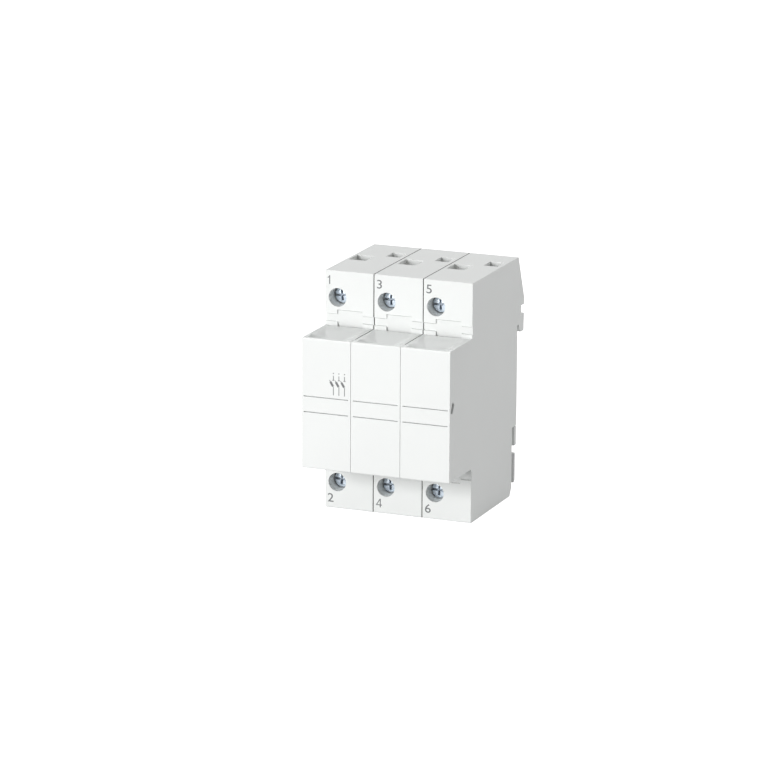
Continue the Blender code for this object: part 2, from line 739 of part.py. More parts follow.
def drawer_shell():
    """The drawer's front: a plate with a rim, hollow behind, with the finger scoop in its top."""
    inside = DRAWER_FRONT + PLATE_WALL
    disc_top = math.degrees(math.acos((PLATE_BACK - HINGE_Y) / DISC_RADIUS))
    disc_low = math.degrees(math.asin(-EAR_RADIUS / DISC_RADIUS))
    outline = [
        (DRAWER_FRONT, -HALF_FRONT),
        *arc((HINGE_Y, HINGE_Z), DISC_RADIUS, disc_low, disc_top, 8),
        (PLATE_BACK, HALF_FRONT),
        (DRAWER_FRONT, HALF_FRONT),
    ]
    plate = prism("drawer_plate", outline, (-HALF_WIDTH, HALF_WIDTH))
    bevel = plate.modifiers.new("rounded_edges", "BEVEL")
    bevel.width = EDGE_ROUND
    bevel.segments = 2
    bevel.limit_method = "ANGLE"
    bevel.angle_limit = math.radians(60)
    hollow_x = (HOLLOW_LEFT, HOLLOW_RIGHT)
    floor = scoop_profile(inside)
    above = HALF_FRONT + BEYOND
    cuts = [
        box("plate_hollow", hollow_x, (inside, 0), (PLATE_WALL - HALF_FRONT, above)),
        prism("finger_scoop", [*floor, (DRAWER_TOP_BACK, above), (inside, above)], hollow_x),
        tie_section("tie_slot", TIE_PLAY, (-HALF_WIDTH - BEYOND, HALF_WIDTH + BEYOND)),
    ]
    ear_top = HINGE_Z + EAR_RADIUS + PLAY
    for side_x in ((HOLLOW_LEFT, LUG_LEFT), (LUG_RIGHT, HOLLOW_RIGHT)):
        cuts.append(box("ear_slot", side_x, (inside, 0), (-HALF_FRONT - BEYOND, ear_top)))
    for height in (UPPER_GROOVE, LOWER_GROOVE):
        cuts.append(
            box(
                "front_groove",
                (GROOVE_END - HALF_WIDTH, HALF_WIDTH - GROOVE_END),
                (DRAWER_FRONT - BEYOND, DRAWER_FRONT + GROOVE),
                (height - GROOVE / 2, height + GROOVE / 2),
            )
        )
    return stock("drawer_shell", combined(plate, cut=cuts))


def drawer_mesh():
    """Hinged drawer: its front, the floor of the scoop, and the cradle that carries the fuse."""
    inside = DRAWER_FRONT + PLATE_WALL
    root = inside - PLATE_WALL / 2
    ledge = [(root, scoop_height(inside)), *scoop_profile(inside)]
    ledge += [(y, z - SCOOP_FLOOR) for y, z in reversed(ledge)]
    cradle_x = (-CRADLE_RADIUS - CRADLE_SIDE, CRADLE_RADIUS + CRADLE_SIDE)
    shelf_x = (JAW_GRIP - CAP_RADIUS, CAP_RADIUS - JAW_GRIP)
    waist_z = (-FUSE_DROP - CRADLE_HALF_HEIGHT, CRADLE_HALF_HEIGHT - FUSE_DROP)
    back_z = (HINGE_Z + EAR_RADIUS + PLAY, FUSE_TOP - PLAY)
    shelf_z = (FUSE_BOTTOM - PLAY - SHELF, FUSE_BOTTOM - PLAY)
    wrap = FUSE_Y + CRADLE_WRAP
    lug_back = HINGE_Y + LUG_REACH
    joined = [
        prism("scoop_floor", ledge, (DRAWER_LEFT, DRAWER_RIGHT)),
        box("cradle_waist", cradle_x, (CRADLE_FRONT, wrap), waist_z),
        box("cradle_back", cradle_x, (CRADLE_FRONT, FUSE_Y - JAW_REACH - CRADLE_JAW_GAP), back_z),
        box("fuse_shelf", shelf_x, (CRADLE_FRONT, wrap), shelf_z),
        box(
            "hinge_lug",
            (LUG_LEFT, LUG_RIGHT),
            (root, lug_back),
            (PLATE_WALL / 2 - HALF_FRONT, HINGE_Z + LUG_REACH),
        ),
    ]
    rib_x = (cradle_x[0] + CRADLE_SIDE / 2, cradle_x[1] - CRADLE_SIDE / 2)
    rib_y = (root, CRADLE_FRONT + CRADLE_WALL / 2)
    for height in (LOWEST_RIB, LOW_RIB, HIGH_RIB, HIGHEST_RIB):
        joined.append(box("cradle_rib", rib_x, rib_y, (height, height + RIB_THICKNESS)))
    trunnion = rod(
        "trunnion",
        "X",
        (0, HINGE_Y, HINGE_Z),
        TRUNNION_RADIUS,
        (EAR_LEFT, EAR_RIGHT),
        SMALL_SEGMENTS,
    )
    fuse_space = rod(
        "fuse_space",
        "Z",
        (0, FUSE_Y, 0),
        CRADLE_RADIUS,
        (FUSE_BOTTOM - PLAY, FUSE_TOP + SEAM),
    )
    return combined(drawer_shell(), joined=[*joined, trunnion], cut=[fuse_space])


def fuse_tube_mesh():
    """Ceramic tube of the fuse link, necked down inside its two caps."""
    waist = FUSE_LENGTH / 2 - CAP_LENGTH - PLAY
    neck = CAP_RADIUS - CAP_WALL - PLAY
    end = FUSE_LENGTH / 2 - CAP_WALL - PLAY
    profile = [(0, end), (neck, end), (neck, waist), (TUBE_RADIUS, waist)]
    profile += [(r, -z) for r, z in reversed(profile)]
    return turned("tube_profile", profile)


def cap_mesh():
    """Drawn metal end cap, closed at the top, with its mouth at the height of zero."""
    inner = CAP_RADIUS - CAP_WALL
    round_off = CAP_WALL / 2
    profile = [
        (0, CAP_LENGTH),
        (CAP_RADIUS - round_off, CAP_LENGTH),
        (CAP_RADIUS, CAP_LENGTH - round_off),
        (CAP_RADIUS, 0),
        (inner, 0),
        (inner, CAP_LENGTH - CAP_WALL),
        (0, CAP_LENGTH - CAP_WALL),
    ]
    return turned("cap_profile", profile)


def turned(name, profile):
    """A profile of (radius, height), from the top down its outer side, turned about Z."""
    bm = bmesh.new()
    verts = [bm.verts.new((radius, 0, height)) for radius, height in profile]
    for first, second in zip(verts, verts[1:]):
        bm.edges.new((first, second))
    mesh = bpy.data.meshes.new(name)
    bm.to_mesh(mesh)
    bm.free()
    spun = stock(name, mesh)
    screw = spun.modifiers.new("turn", "SCREW")
    screw.steps = SEGMENTS
    screw.render_steps = SEGMENTS
    screw.use_merge_vertices = True
    screw.merge_threshold = 0.00001
    return combined(spun)


def contact_mesh(side):
    """Bent contact: sprung jaws for the fuse cap, a strip, and a tang that the clamp pulls against."""
    strip_z = side * STRIP_LEVEL
    cap_z = side * (FUSE_LENGTH / 2 - CAP_LENGTH / 2) - FUSE_DROP
    jaw_z = (cap_z - JAW_HEIGHT / 2, cap_z + JAW_HEIGHT / 2)
    jaw_end = jaw_z[0] if side > 0 else jaw_z[1]
    spine = with_bends(
        [(CONTACT_Y, jaw_end), (CONTACT_Y, strip_z), (TANG_Y, strip_z), (TANG_Y, side * TANG_TOP)],
        BEND,
    )
    branch = with_bends(
        [(TANG_Y - BRANCH_OVERLAP, strip_z), (TAB_Y, strip_z), (TAB_Y, side * TAB_TOP)],
        BEND,
    )
    grip = CAP_RADIUS + JAW_GRIP + JAW_STRIP / 2
    half_jaw = [
        (grip + JAW_BOW, CONTACT_Y),
        (grip + JAW_BOW, CONTACT_Y - JAW_BEND),
        (grip + JAW_BOW / 2, FUSE_Y + JAW_BEND),
        (grip, FUSE_Y + JAW_FLAT / 2),
        (grip, FUSE_Y - JAW_FLAT / 2),
        (grip + JAW_FLARE, FUSE_Y - JAW_REACH),
    ]
    jaw = [*reversed(half_jaw), *[(-x, y) for x, y in half_jaw]]
    behind_strip = CONTACT_Y + STRIP
    beside_tang = between(STRIP_LEVEL - STRIP, HALF_HEIGHT, side)
    tang_x = (SCREW_X - TANG_WIDTH / 2, SCREW_X + TANG_WIDTH / 2)
    spine_x = (tang_x[0], grip)
    left_of_jaw = (tang_x[0] - BEYOND, -grip)
    below_strip = between(0, STRIP_LEVEL - STRIP / 2 - BEND, side)
    narrow = combined(
        bent_strip("spine", spine, spine_x, STRIP, "X"),
        cut=[
            box("beside_tang", (tang_x[1], grip + BEYOND), (TANG_Y - BRANCH_OVERLAP / 2, 0), beside_tang),
            box("beside_jaw", left_of_jaw, (CONTACT_Y - BEYOND, behind_strip), below_strip),
        ],
    )
    tab_x = (DIVIDER_RIGHT + PLAY, DIVIDER_RIGHT + PLAY + TAB_WIDTH)
    return combined(
        stock("contact_spine", narrow),
        joined=[
            bent_strip("jaws", jaw, jaw_z, JAW_STRIP, "Z"),
            bent_strip("busbar_tab", branch, tab_x, TAB_STRIP, "X"),
        ],
    )


def cage_mesh():
    """Clamp cage, open along Z for the conductor, with the nut in its front wall."""
    half = CAGE_HEIGHT / 2
    cage = box(
        "cage_block",
        (CAGE_LEFT, CAGE_RIGHT),
        (NUT_FRONT, WIRE_BACK + CAGE_BACK),
        (-half, half),
    )
    bevel = cage.modifiers.new("rounded_edges", "BEVEL")
    bevel.width = CAGE_SIDE / 2
    bevel.segments = 1
    bevel.limit_method = "ANGLE"
    window = box(
        "cage_window",
        (CAGE_LEFT + CAGE_SIDE, CAGE_RIGHT - CAGE_SIDE),
        (SCREW_TIP, WIRE_BACK + PLAY),
        (-half - BEYOND, half + BEYOND),
    )
    thread = rod(
        "nut_hole",
        "Y",
        (SCREW_X, 0, 0),
        SCREW_SHANK_RADIUS + PLAY,
        (NUT_FRONT - BEYOND, SCREW_TIP + BEYOND),
        SMALL_SEGMENTS,
    )
    return combined(cage, cut=[window, thread])


def screw_mesh():
    """Terminal screw about its own axis, with a slot and a cross in its head."""
    head = rod("screw_head", "Y", (0, 0, 0), SCREW_HEAD_RADIUS, (HEAD_FRONT, HEAD_BACK))
    bevel = head.modifiers.new("rounded_head", "BEVEL")
    bevel.width = HEAD_ROUND
    bevel.segments = 1
    bevel.limit_method = "ANGLE"
    bevel.angle_limit = math.radians(60)
    shank = rod(
        "screw_shank",
        "Y",
        (0, 0, 0),
        SCREW_SHANK_RADIUS,
        (HEAD_BACK - SCREW_HEAD_HEIGHT / 2, SCREW_TIP),
        SMALL_SEGMENTS,
    )
    drive_y = (HEAD_FRONT - BEYOND, HEAD_FRONT + DRIVE_DEPTH)
    half = DRIVE_SLOT / 2
    long_way = SCREW_HEAD_RADIUS + BEYOND
    slot = box("drive_slot", (-long_way, long_way), drive_y, (-half, half))
    cross = box("drive_cross", (-half, half), drive_y, (-DRIVE_CROSS / 2, DRIVE_CROSS / 2))
    return combined(head, joined=[shank], cut=[slot, cross])


def latch_mesh():
    """Sprung latch with the claw that holds the rail's lower edge, and its undercut runner."""
    notch_top = LATCH_TOP - LATCH_NOTCH_DROP
    notch_bottom = notch_top - LATCH_NOTCH_HEIGHT
    plate = prism(
        "latch_plate",
        [
            (-LATCH_THICKNESS, LATCH_TOP),
            (-SEAT_RELIEF, LATCH_TOP),
            (-SEAT_RELIEF, notch_top),
            (-LATCH_STEP, notch_bottom),
            (-LATCH_STEP, LATCH_BOTTOM + LATCH_STEP),
            (-LATCH_THICKNESS, LATCH_BOTTOM),
        ],
        (-HALF_WIDTH, HALF_WIDTH),
    )
    claw = prism(
        "latch_claw",
        [
            (-LATCH_THICKNESS / 2, LATCH_TOP),
            (SLOT_BACK, LATCH_TOP),
            (SLOT_BACK, -LIP_LEVEL - CLAW_LEAD),
            (SLOT_BACK + CLAW_LEAD, -LIP_LEVEL),
            (CLAW_DEPTH, -LIP_LEVEL - CLAW_LEAD),
            (CLAW_DEPTH, LATCH_TOP - CLAW_UNDERSIDE),
            (-LATCH_THICKNESS / 2, LATCH_TOP - CLAW_ROOT),
        ],
        (-CLAW_WIDTH / 2, CLAW_WIDTH / 2),
    )
    runner_z = (RUNNER_TOP - TEE_HEIGHT, RUNNER_TOP)
    deep = -LATCH_THICKNESS - TEE_STEM_DEPTH
    stem_x = (-TEE_STEM_WIDTH / 2, TEE_STEM_WIDTH / 2)
    head_x = (-TEE_HEAD_WIDTH / 2, TEE_HEAD_WIDTH / 2)
    joined = [
        claw,
        box("runner_stem", stem_x, (deep, -LATCH_THICKNESS / 2), runner_z),
        box("runner_head", head_x, (deep - TEE_HEAD_DEPTH, deep), runner_z),
    ]
    cuts = []
    for side in (1, -1):
        inner = side * (HALF_WIDTH - LATCH_NOTCH_WIDTH)
        outer = side * (HALF_WIDTH + BEYOND)
        cuts.append(
            box(
                "side_notch",
                tuple(sorted((inner, outer))),
                (-LATCH_THICKNESS - PLAY, BEYOND),
                (notch_bottom, notch_top),
            )
        )
    cuts.append(
        box(
            "pull_slot",
            (-PULL_SLOT_WIDTH / 2, PULL_SLOT_WIDTH / 2),
            (-LATCH_THICKNESS / 2, BEYOND),
            (LATCH_BOTTOM + PULL_SLOT_BOTTOM, LATCH_BOTTOM + PULL_SLOT_TOP),
        )
    )
    return combined(plate, joined=joined, cut=cuts)


def rivet_mesh():
    """Rivet that runs from the first pole's boss into the last pole's blind one."""
    first = POLE_PLACES[0]
    shank_end = POLE_PLACES[-1] + HALF_WIDTH - 2 * RIVET_END - PLAY
    head = rod(
        "rivet_head",
        "X",
        (0, 0, 0),
        RIVET_HEAD_RADIUS,
        (first - HALF_WIDTH, first + TRAY_RIM - PLAY),
        SMALL_SEGMENTS,
    )
    shank = rod(
        "rivet_shank",
        "X",
        (0, 0, 0),
        RIVET_RADIUS,
        (first - HALF_WIDTH + SEAM, shank_end),
        SMALL_SEGMENTS,
    )
    return combined(head, joined=[shank])


def build():
    hinge = pivot("drawer_hinge", (0, HINGE_Y, HINGE_Z))
    hinge_offset = Vector((0, -HINGE_Y, -HINGE_Z))
    trays = [tray_mesh(False), tray_mesh(True)]
    covers = [cover_mesh(True), cover_mesh(False)]
    drawer = drawer_mesh()
    tube = fuse_tube_mesh()
    cap = cap_mesh()
    cage = cage_mesh()
    screw = screw_mesh()
    latch = latch_mesh()
    contacts = {1: contact_mesh(1), -1: contact_mesh(-1)}
    for number, x in enumerate(POLE_PLACES, 1):
        last = number == POLES
        place(f"housing_{number}", trays[last], housing_plastic, (x, 0, 0))
        place(f"side_cover_{number}", covers[number > 1], housing_plastic, (x, 0, 0))
        place(f"fuse_drawer_{number}", drawer, drawer_plastic, (x, 0, 0), hinge)
        middle = (x, FUSE_Y, -FUSE_DROP)
        place(f"fuse_tube_{number}", tube, ceramic, middle, hinge)
        for side, word in ((1, "upper"), (-1, "lower")):
            mouth = (x, FUSE_Y, side * (FUSE_LENGTH / 2 - CAP_LENGTH) - FUSE_DROP)
            fuse_cap = place(f"fuse_cap_{word}_{number}", cap, nickel, mouth, hinge)
            if side < 0:
                fuse_cap.rotation_euler = (math.pi, 0, 0)
            place(f"contact_{word}_{number}", contacts[side], silvered_copper, (x, 0, 0))
            level = side * SCREW_LEVEL
            place(f"clamp_cage_{word}_{number}", cage, steel, (x, 0, level))
            place(f"terminal_screw_{word}_{number}", screw, zinc, (x + SCREW_X, 0, level))
        place(f"rail_latch_{number}", latch, latch_plastic, (x, 0, 0))
    rivet = rivet_mesh()
    for number, (y, z) in enumerate(RIVET_PLACES, 1):
        place(f"rivet_{number}", rivet, steel, (0, y, z))
    tie_start = POLE_PLACES[0] - HALF_WIDTH + TIE_END
    tie_end = POLE_PLACES[-1] + HALF_WIDTH - TIE_END
    tie = combined(tie_section("tie_strip", 0, (tie_start, tie_end)))
    place("tie_bar", tie, steel, (0, 0, 0), hinge)


build()
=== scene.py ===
"""A three-pole holder for cylindrical fuses, dressed for its photograph.

Seen from the front, X runs to the right, Y runs back to the rail and Z runs up, in metres.
"""

import math

import bmesh
import bpy
from mathutils import Matrix, Quaternion, Vector


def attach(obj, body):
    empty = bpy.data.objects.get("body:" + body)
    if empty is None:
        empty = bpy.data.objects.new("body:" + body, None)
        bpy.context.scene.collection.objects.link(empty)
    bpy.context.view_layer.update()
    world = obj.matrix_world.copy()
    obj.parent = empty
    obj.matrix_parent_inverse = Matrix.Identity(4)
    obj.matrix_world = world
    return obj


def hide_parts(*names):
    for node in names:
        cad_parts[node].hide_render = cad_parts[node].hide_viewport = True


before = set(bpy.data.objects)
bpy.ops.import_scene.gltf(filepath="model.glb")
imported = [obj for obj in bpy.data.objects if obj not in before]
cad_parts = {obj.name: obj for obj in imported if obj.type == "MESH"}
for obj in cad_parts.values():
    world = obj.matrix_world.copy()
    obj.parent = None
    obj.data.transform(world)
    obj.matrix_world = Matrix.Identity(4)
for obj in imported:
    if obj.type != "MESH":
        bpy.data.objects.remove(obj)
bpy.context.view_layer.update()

# The photograph's stand: a long lens to the right of the holder and a little above it, and white
# paper under the lowest edge. The broad lamp in front leaves the top and the right side in soft
# shade, which two weaker lamps lift.
VIEW_AZIMUTH = math.radians(22.0824)
VIEW_ELEVATION = math.radians(14.2026)
VIEW_ROLL = math.radians(0.246)
CAMERA_PLACE = Vector((0.56761, -1.45470, 0.38942))
LENS = 218.96
SENSOR_WIDTH = 36
CLIP_START = 0.05
LAMP_TARGET = Vector((0, -0.03, 0))
LAMPS = (  # name, place, width and power
    ("front_soft_box", (-0.66, -1.64, 0.44), 0.8, 24.9),
    ("top_soft_box", (-0.15, 0.90, 1.50), 1.2, 10.4),
    ("side_soft_box", (1.60, 0.55, 0.20), 1.2, 11.0),
)
WALL_LEVEL = 0.34
GLOSS_LEVEL = 0.70
FLOOR_LEVEL = -0.04145
FLOOR_REACH = 3
PAPER_SHADE = 0.55
PAPER_ROUGHNESS = 0.9
PAPER_GLOW = 1.0
WHITE = (1, 1, 1, 1)

scene = bpy.context.scene
scene.view_settings.view_transform = "Standard"


def put(name, data):
    """A new object in the scene, with a mesh or other data."""
    obj = bpy.data.objects.new(name, data)
    scene.collection.objects.link(obj)
    return obj


def feed(node, feeds):
    """Sets the inputs of a node to values, or links them to the sockets of other nodes."""
    for socket, given in feeds.items():
        for source in given if isinstance(given, list) else [given]:
            if isinstance(source, bpy.types.NodeSocket):
                node.id_data.links.new(source, node.inputs[socket])
            else:
                node.inputs[socket].default_value = source


def add_node(tree, kind, feeds, **settings):
    """A new node with its settings and inputs, of which the first live output is given back."""
    made = tree.nodes.new(kind)
    for setting, value in settings.items():
        setattr(made, setting, value)
    feed(made, feeds)
    return next(output for output in made.outputs if output.enabled)


def new_material(name):
    """A material with its node tree and its shader."""
    material = bpy.data.materials.new(name)
    material.use_nodes = True
    return material, material.node_tree, material.node_tree.nodes["Principled BSDF"]


camera = put("camera", bpy.data.cameras.new("camera"))
camera.data.lens = LENS
camera.data.sensor_width = SENSOR_WIDTH
camera.data.clip_start = CLIP_START
camera.location = CAMERA_PLACE
looking = Vector((
    -math.sin(VIEW_AZIMUTH) * math.cos(VIEW_ELEVATION),
    math.cos(VIEW_AZIMUTH) * math.cos(VIEW_ELEVATION),
    -math.sin(VIEW_ELEVATION),
))
camera.rotation_euler = (looking.to_track_quat("-Z", "Y") @ Quaternion((0, 0, 1), VIEW_ROLL)).to_euler()
scene.camera = camera

for name, place, width, power in LAMPS:
    lamp = bpy.data.lights.new(name, "AREA")
    lamp.size = width
    lamp.energy = power
    soft_box = put(name, lamp)
    soft_box.location = place
    soft_box.rotation_euler = (LAMP_TARGET - Vector(place)).to_track_quat("-Z", "Y").to_euler()

world = bpy.data.worlds.new("studio")
world.use_nodes = True
scene.world = world
walls = world.node_tree
rays = walls.nodes.new("ShaderNodeLightPath").outputs
shade = add_node(walls, "ShaderNodeMapRange", {
    "Value": rays["Is Glossy Ray"], "To Min": WALL_LEVEL, "To Max": GLOSS_LEVEL,
})
plain = add_node(walls, "ShaderNodeMapRange", {"Value": rays["Is Camera Ray"], "To Min": shade, "To Max": 1.0})
feed(walls.nodes["Background"], {"Color": WHITE, "Strength": plain})

floor_mesh = bpy.data.meshes.new("floor")
floor_corners = [(-1, -1), (1, -1), (1, 1), (-1, 1)]
floor_mesh.from_pydata([(x * FLOOR_REACH, y * FLOOR_REACH, FLOOR_LEVEL) for x, y in floor_corners], [], [(0, 1, 2, 3)])
floor = put("floor", floor_mesh)
paper, paper_tree, paper_shader = new_material("white_paper")
paper_rays = paper_tree.nodes.new("ShaderNodeLightPath").outputs
paper_glow = add_node(paper_tree, "ShaderNodeMapRange", {
    "Value": paper_rays["Is Camera Ray"], "To Min": 0.0, "To Max": PAPER_GLOW,
})
feed(paper_shader, {
    "Base Color": (PAPER_SHADE, PAPER_SHADE, PAPER_SHADE, 1), "Roughness": PAPER_ROUGHNESS,
    "Emission Color": WHITE, "Emission Strength": paper_glow,
})
floor_mesh.materials.append(paper)

# Housings: each pole is one deep tray of light grey polyamide, closed on its left by a thin flat
# cover of the same plastic. The mould leaves a fine satin grain and slightly broken edges. The
# flat sides where the poles face each other across their gaps carry painted shade, a dark colour.
POLE_PITCH = 0.0178
POLES = {1: -POLE_PITCH, 2: 0.0, 3: POLE_PITCH}
SIDES = (("upper", 1), ("lower", -1))
HALF_POLE = 0.00875
HALF_FRONT = 0.0225
TERMINAL_FRONT = -0.0430
SCREW_OFFSET = -0.0043
SCREW_LEVEL = 0.0322
BORE_RADIUS = 0.00322
BORE_END = -0.0368
BORE_SIDES = 64
BORE_LEAD = 0.002
COVER_INNER = -0.00775
SEAM_CLOSED = 0.00009
SIDE_SEAM = -0.00765
BAND_FLOOR = -0.0420
BAND_LEVELS = (0.0224, 0.0281)
BAND_DEPTH = 0.00045
BAND_GROOVE_WIDTH = 0.00026
BAND_GROOVE_DEPTH = 0.00035
BAND_GROOVES = (  # left end, right end and lower edge
    (-0.00885, -0.00439, 0.02626), (-0.00433, 0.00478, 0.02776), (0.00484, 0.00885, 0.02626),
    (-0.00885, -0.00439, 0.02378), (0.00484, 0.00885, 0.02378),
)
TRAY_BAND = (-0.0078, 0.0090)
COVER_BAND = (-0.0090, -0.0075)
BEYOND = 0.001
SAME_PLACE = 0.00002
SEAM_REACH = 0.00003
MERGE_REACH = 0.000002
FLAT_ANGLE = math.radians(0.4)
HOUSING_EDGE = 0.00008
EDGE_STEPS = 2
SHARP = math.radians(32)
SMOOTH = math.radians(38)
FLANK_CRISPNESS = 0.4
LOWER_EDGE = 0.00040
LOWER_STEPS = 4
LOWER_EDGES = ((-0.0430, -0.0414), (-0.06325, -0.0225))
FLAT_AREA = 0.00000004
FLAT_LEAN = math.cos(math.radians(13))
HOUSING_COLOUR = (0.820, 0.835, 0.825)
PLASTIC_IOR = 1.52
CLOUD_SCALE = 55
CLOUD_TINTS = (0.982, 1.012)
CLOUD_SHEENS = (-0.05, 0.06)
GRAIN_SCALE = 5200
GRAIN_DEPTH = 0.00002
# Painted shade in the gaps between poles: where the gap lies, how far its dark colour reaches, and that colour.
GAP_PLACE = 0.0089
GAP_REACH = 0.000165
GAP_SHADE_COLOUR = (0.16, 0.16, 0.15)


def rgba(colour, strength=1):
    """A colour for a node, made lighter or darker."""
    return (*[min(part * strength, 1) for part in colour], 1)


def object_place(tree):
    """The socket of the piece's own coordinates."""
    return tree.nodes.new("ShaderNodeTexCoord").outputs["Object"]


def axes(tree, place):
    """The sockets X, Y and Z of a place."""
    return add_node(tree, "ShaderNodeSeparateXYZ", {0: place}).node.outputs


def noise(tree, place, scale, detail):
    """Noise of a given fineness at a place."""
    return add_node(tree, "ShaderNodeTexNoise", {"Vector": place, "Scale": scale, "Detail": detail})


def colour_mix(tree, factor, first, second, **settings):
    """A blend of two colours, or of the sockets that give them."""
    feeds = {"Factor": factor, "A": first, "B": second}
    return add_node(tree, "ShaderNodeMix", feeds, data_type="RGBA", **settings)


def moulded_plastic(name, colour, roughness, grain):
    """Injection-moulded plastic: a fine spark-eroded grain, with faint flow marks and cloudiness."""
    material, tree, shader = new_material(name)
    where = object_place(tree)
    clouds = noise(tree, where, CLOUD_SCALE, 3)
    darker, lighter = CLOUD_TINTS
    smoother, rougher = CLOUD_SHEENS
    sheen = add_node(tree, "ShaderNodeMapRange", {
        "Value": clouds, "To Min": roughness + smoother, "To Max": roughness + rougher,
    })
    bump = add_node(tree, "ShaderNodeBump", {
        "Strength": grain, "Distance": GRAIN_DEPTH, "Height": noise(tree, where, GRAIN_SCALE, 2),
    })
    feed(shader, {
        "Base Color": colour_mix(tree, clouds, rgba(colour, darker), rgba(colour, lighter)),
        "Roughness": sheen, "Normal": bump, "IOR": PLASTIC_IOR,
    })
    return material


def recolour(material, factor, over, **settings):
    """Lays another colour over a material's own, by a factor."""
    tree = material.node_tree
    colour_socket = tree.nodes["Principled BSDF"].inputs["Base Color"]
    own = colour_socket.links[0].from_socket
    feed(colour_socket.node, {"Base Color": colour_mix(tree, factor, own, over, **settings)})


def soil_gaps(material):
    """Painted shade in the gaps between two poles: a dark colour on the flat sides that face each other."""
    tree = material.node_tree
    value = axes(tree, object_place(tree))["X"]
    for step, amount in (("ABSOLUTE", 0), ("SUBTRACT", GAP_PLACE), ("ABSOLUTE", 0), ("LESS_THAN", GAP_REACH)):
        value = add_node(tree, "ShaderNodeMath", {0: value, 1: amount}, operation=step)
    # Painted shade: faces within a hair of a pole's side take the dark gap colour in place of the plastic's own.
    recolour(material, value, rgba(GAP_SHADE_COLOUR))
    return material


def mesh_of(bm, name):
    """The mesh that a working mesh makes, which is then freed."""
    mesh = bpy.data.meshes.new(name)
    bm.to_mesh(mesh)
    bm.free()
    return mesh


def applied(obj, name):
    """The object's mesh with its modifiers applied."""
    bpy.context.view_layer.update()
    mesh = bpy.data.meshes.new_from_object(obj.evaluated_get(bpy.context.evaluated_depsgraph_get()))
    mesh.name = name
    return mesh


def as_mesh(obj, name):
    """The object's mesh with its modifiers applied, and the working object gone."""
    mesh = applied(obj, name)
    bpy.data.objects.remove(obj)
    return mesh


def merged(mesh):
    """The mesh with its doubled corners merged, and its triangles joined to whole faces."""
    bm = bmesh.new()
    bm.from_mesh(mesh)
    bmesh.ops.remove_doubles(bm, verts=bm.verts, dist=MERGE_REACH)
    bmesh.ops.dissolve_limit(bm, angle_limit=FLAT_ANGLE, verts=bm.verts, edges=bm.edges)
    return mesh_of(bm, mesh.name)


def merged_copy(node):
    """A working copy of a CAD node."""
    return put(node + "_copy", merged(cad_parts[node].data))


def meets(value, target, reach=SAME_PLACE):
    """Whether a coordinate lies at a place."""
    return abs(value - target) < reach


def break_edges(obj, width, seam=None, middle_x=None):
    """Rounds every sharp edge by a hair, as a mould or a tumbling drum leaves it.

    Edges in the plane of a closed seam stay as they are, so that the seam doesn't show as a groove.
    Those of a pole's two sides stay crisper than the rest, and the lower edges of the fronts rounder.
    """
    bm = bmesh.new()
    bm.from_mesh(obj.data)
    lower = [edge for edge in bm.edges if any(
        all(meets(vert.co.y, y) and meets(vert.co.z, z) for vert in edge.verts) for y, z in LOWER_EDGES
    )]
    bmesh.ops.bevel(bm, geom=lower, offset=LOWER_EDGE, segments=LOWER_STEPS, profile=0.5, affect="EDGES")
    weight = bm.edges.layers.float.new("bevel_weight_edge")
    for edge in bm.edges:
        places = [vert.co.x for vert in edge.verts]
        closed = seam is not None and all(meets(x, seam, SEAM_REACH) for x in places)
        on_side = middle_x is not None and all(meets(abs(x - middle_x), HALF_POLE) for x in places)
        if len(edge.link_faces) == 2 and edge.calc_face_angle() > SHARP and not closed:
            edge[weight] = FLANK_CRISPNESS if on_side else 1
    bm.to_mesh(obj.data)
    bm.free()
    bevel = obj.modifiers.new("broken_edges", "BEVEL")
    bevel.width = width
    bevel.segments = EDGE_STEPS
    bevel.limit_method = "WEIGHT"
    bevel.use_clamp_overlap = True
    return obj


def flatten(mesh):
    """Gives the corners of a larger face its own normal where the blended one leans far from it."""
    normals = [corner.vector.copy() for corner in mesh.corner_normals]
    for face in mesh.polygons:
        if face.area > FLAT_AREA:
            for corner in face.loop_indices:
                if normals[corner].dot(face.normal) < FLAT_LEAN:
                    normals[corner] = face.normal.copy()
    mesh.normals_split_custom_set(normals)


def finish_piece(name, mesh, material, body, slot, *nodes):
    """A finished piece at the origin, which rides on its body and stands for its CAD nodes."""
    mesh.materials.clear()
    mesh.materials.append(material)
    mesh.polygons.foreach_set("material_index", [0] * len(mesh.polygons))
    mesh.shade_smooth()
    mesh.set_sharp_from_angle(angle=SMOOTH)
    piece = put(name, mesh)
    lean = piece.modifiers.new("lean_on_large_faces", "WEIGHTED_NORMAL")
    lean.keep_sharp = True
    piece.data = applied(piece, name)
    piece.modifiers.clear()
    flatten(piece.data)
    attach(piece, body)
    if nodes:
        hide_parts(*nodes)


def wall_between(bm, ring, other):
    """A wall of faces between two rings of corners."""
    for number in range(len(ring)):
        after = (number + 1) % len(ring)
        bm.faces.new((ring[number], ring[after], other[after], other[number]))


def solid_through(name, rings):
    """A closed mesh through rings of points."""
    bm = bmesh.new()
    rings = [[bm.verts.new(point) for point in ring] for ring in rings]
    bm.faces.new(rings[0])
    bm.faces.new(rings[-1])
    for ring, other in zip(rings, rings[1:]):
        wall_between(bm, ring, other)
    bmesh.ops.recalc_face_normals(bm, faces=bm.faces)
    return mesh_of(bm, name)


def drawn_along_x(name, outline, start, end):
    """A working solid with an outline of (y, z) points, drawn from one X to another."""
    return put(name, solid_through(name, [[(x, y, z) for y, z in outline] for x in (start, end)]))


def block(name, low, high):
    """A working solid: the box between two corners."""
    (left, front, bottom), (right, back, top) = low, high
    return drawn_along_x(name, [(front, bottom), (back, bottom), (back, top), (front, top)], left, right)


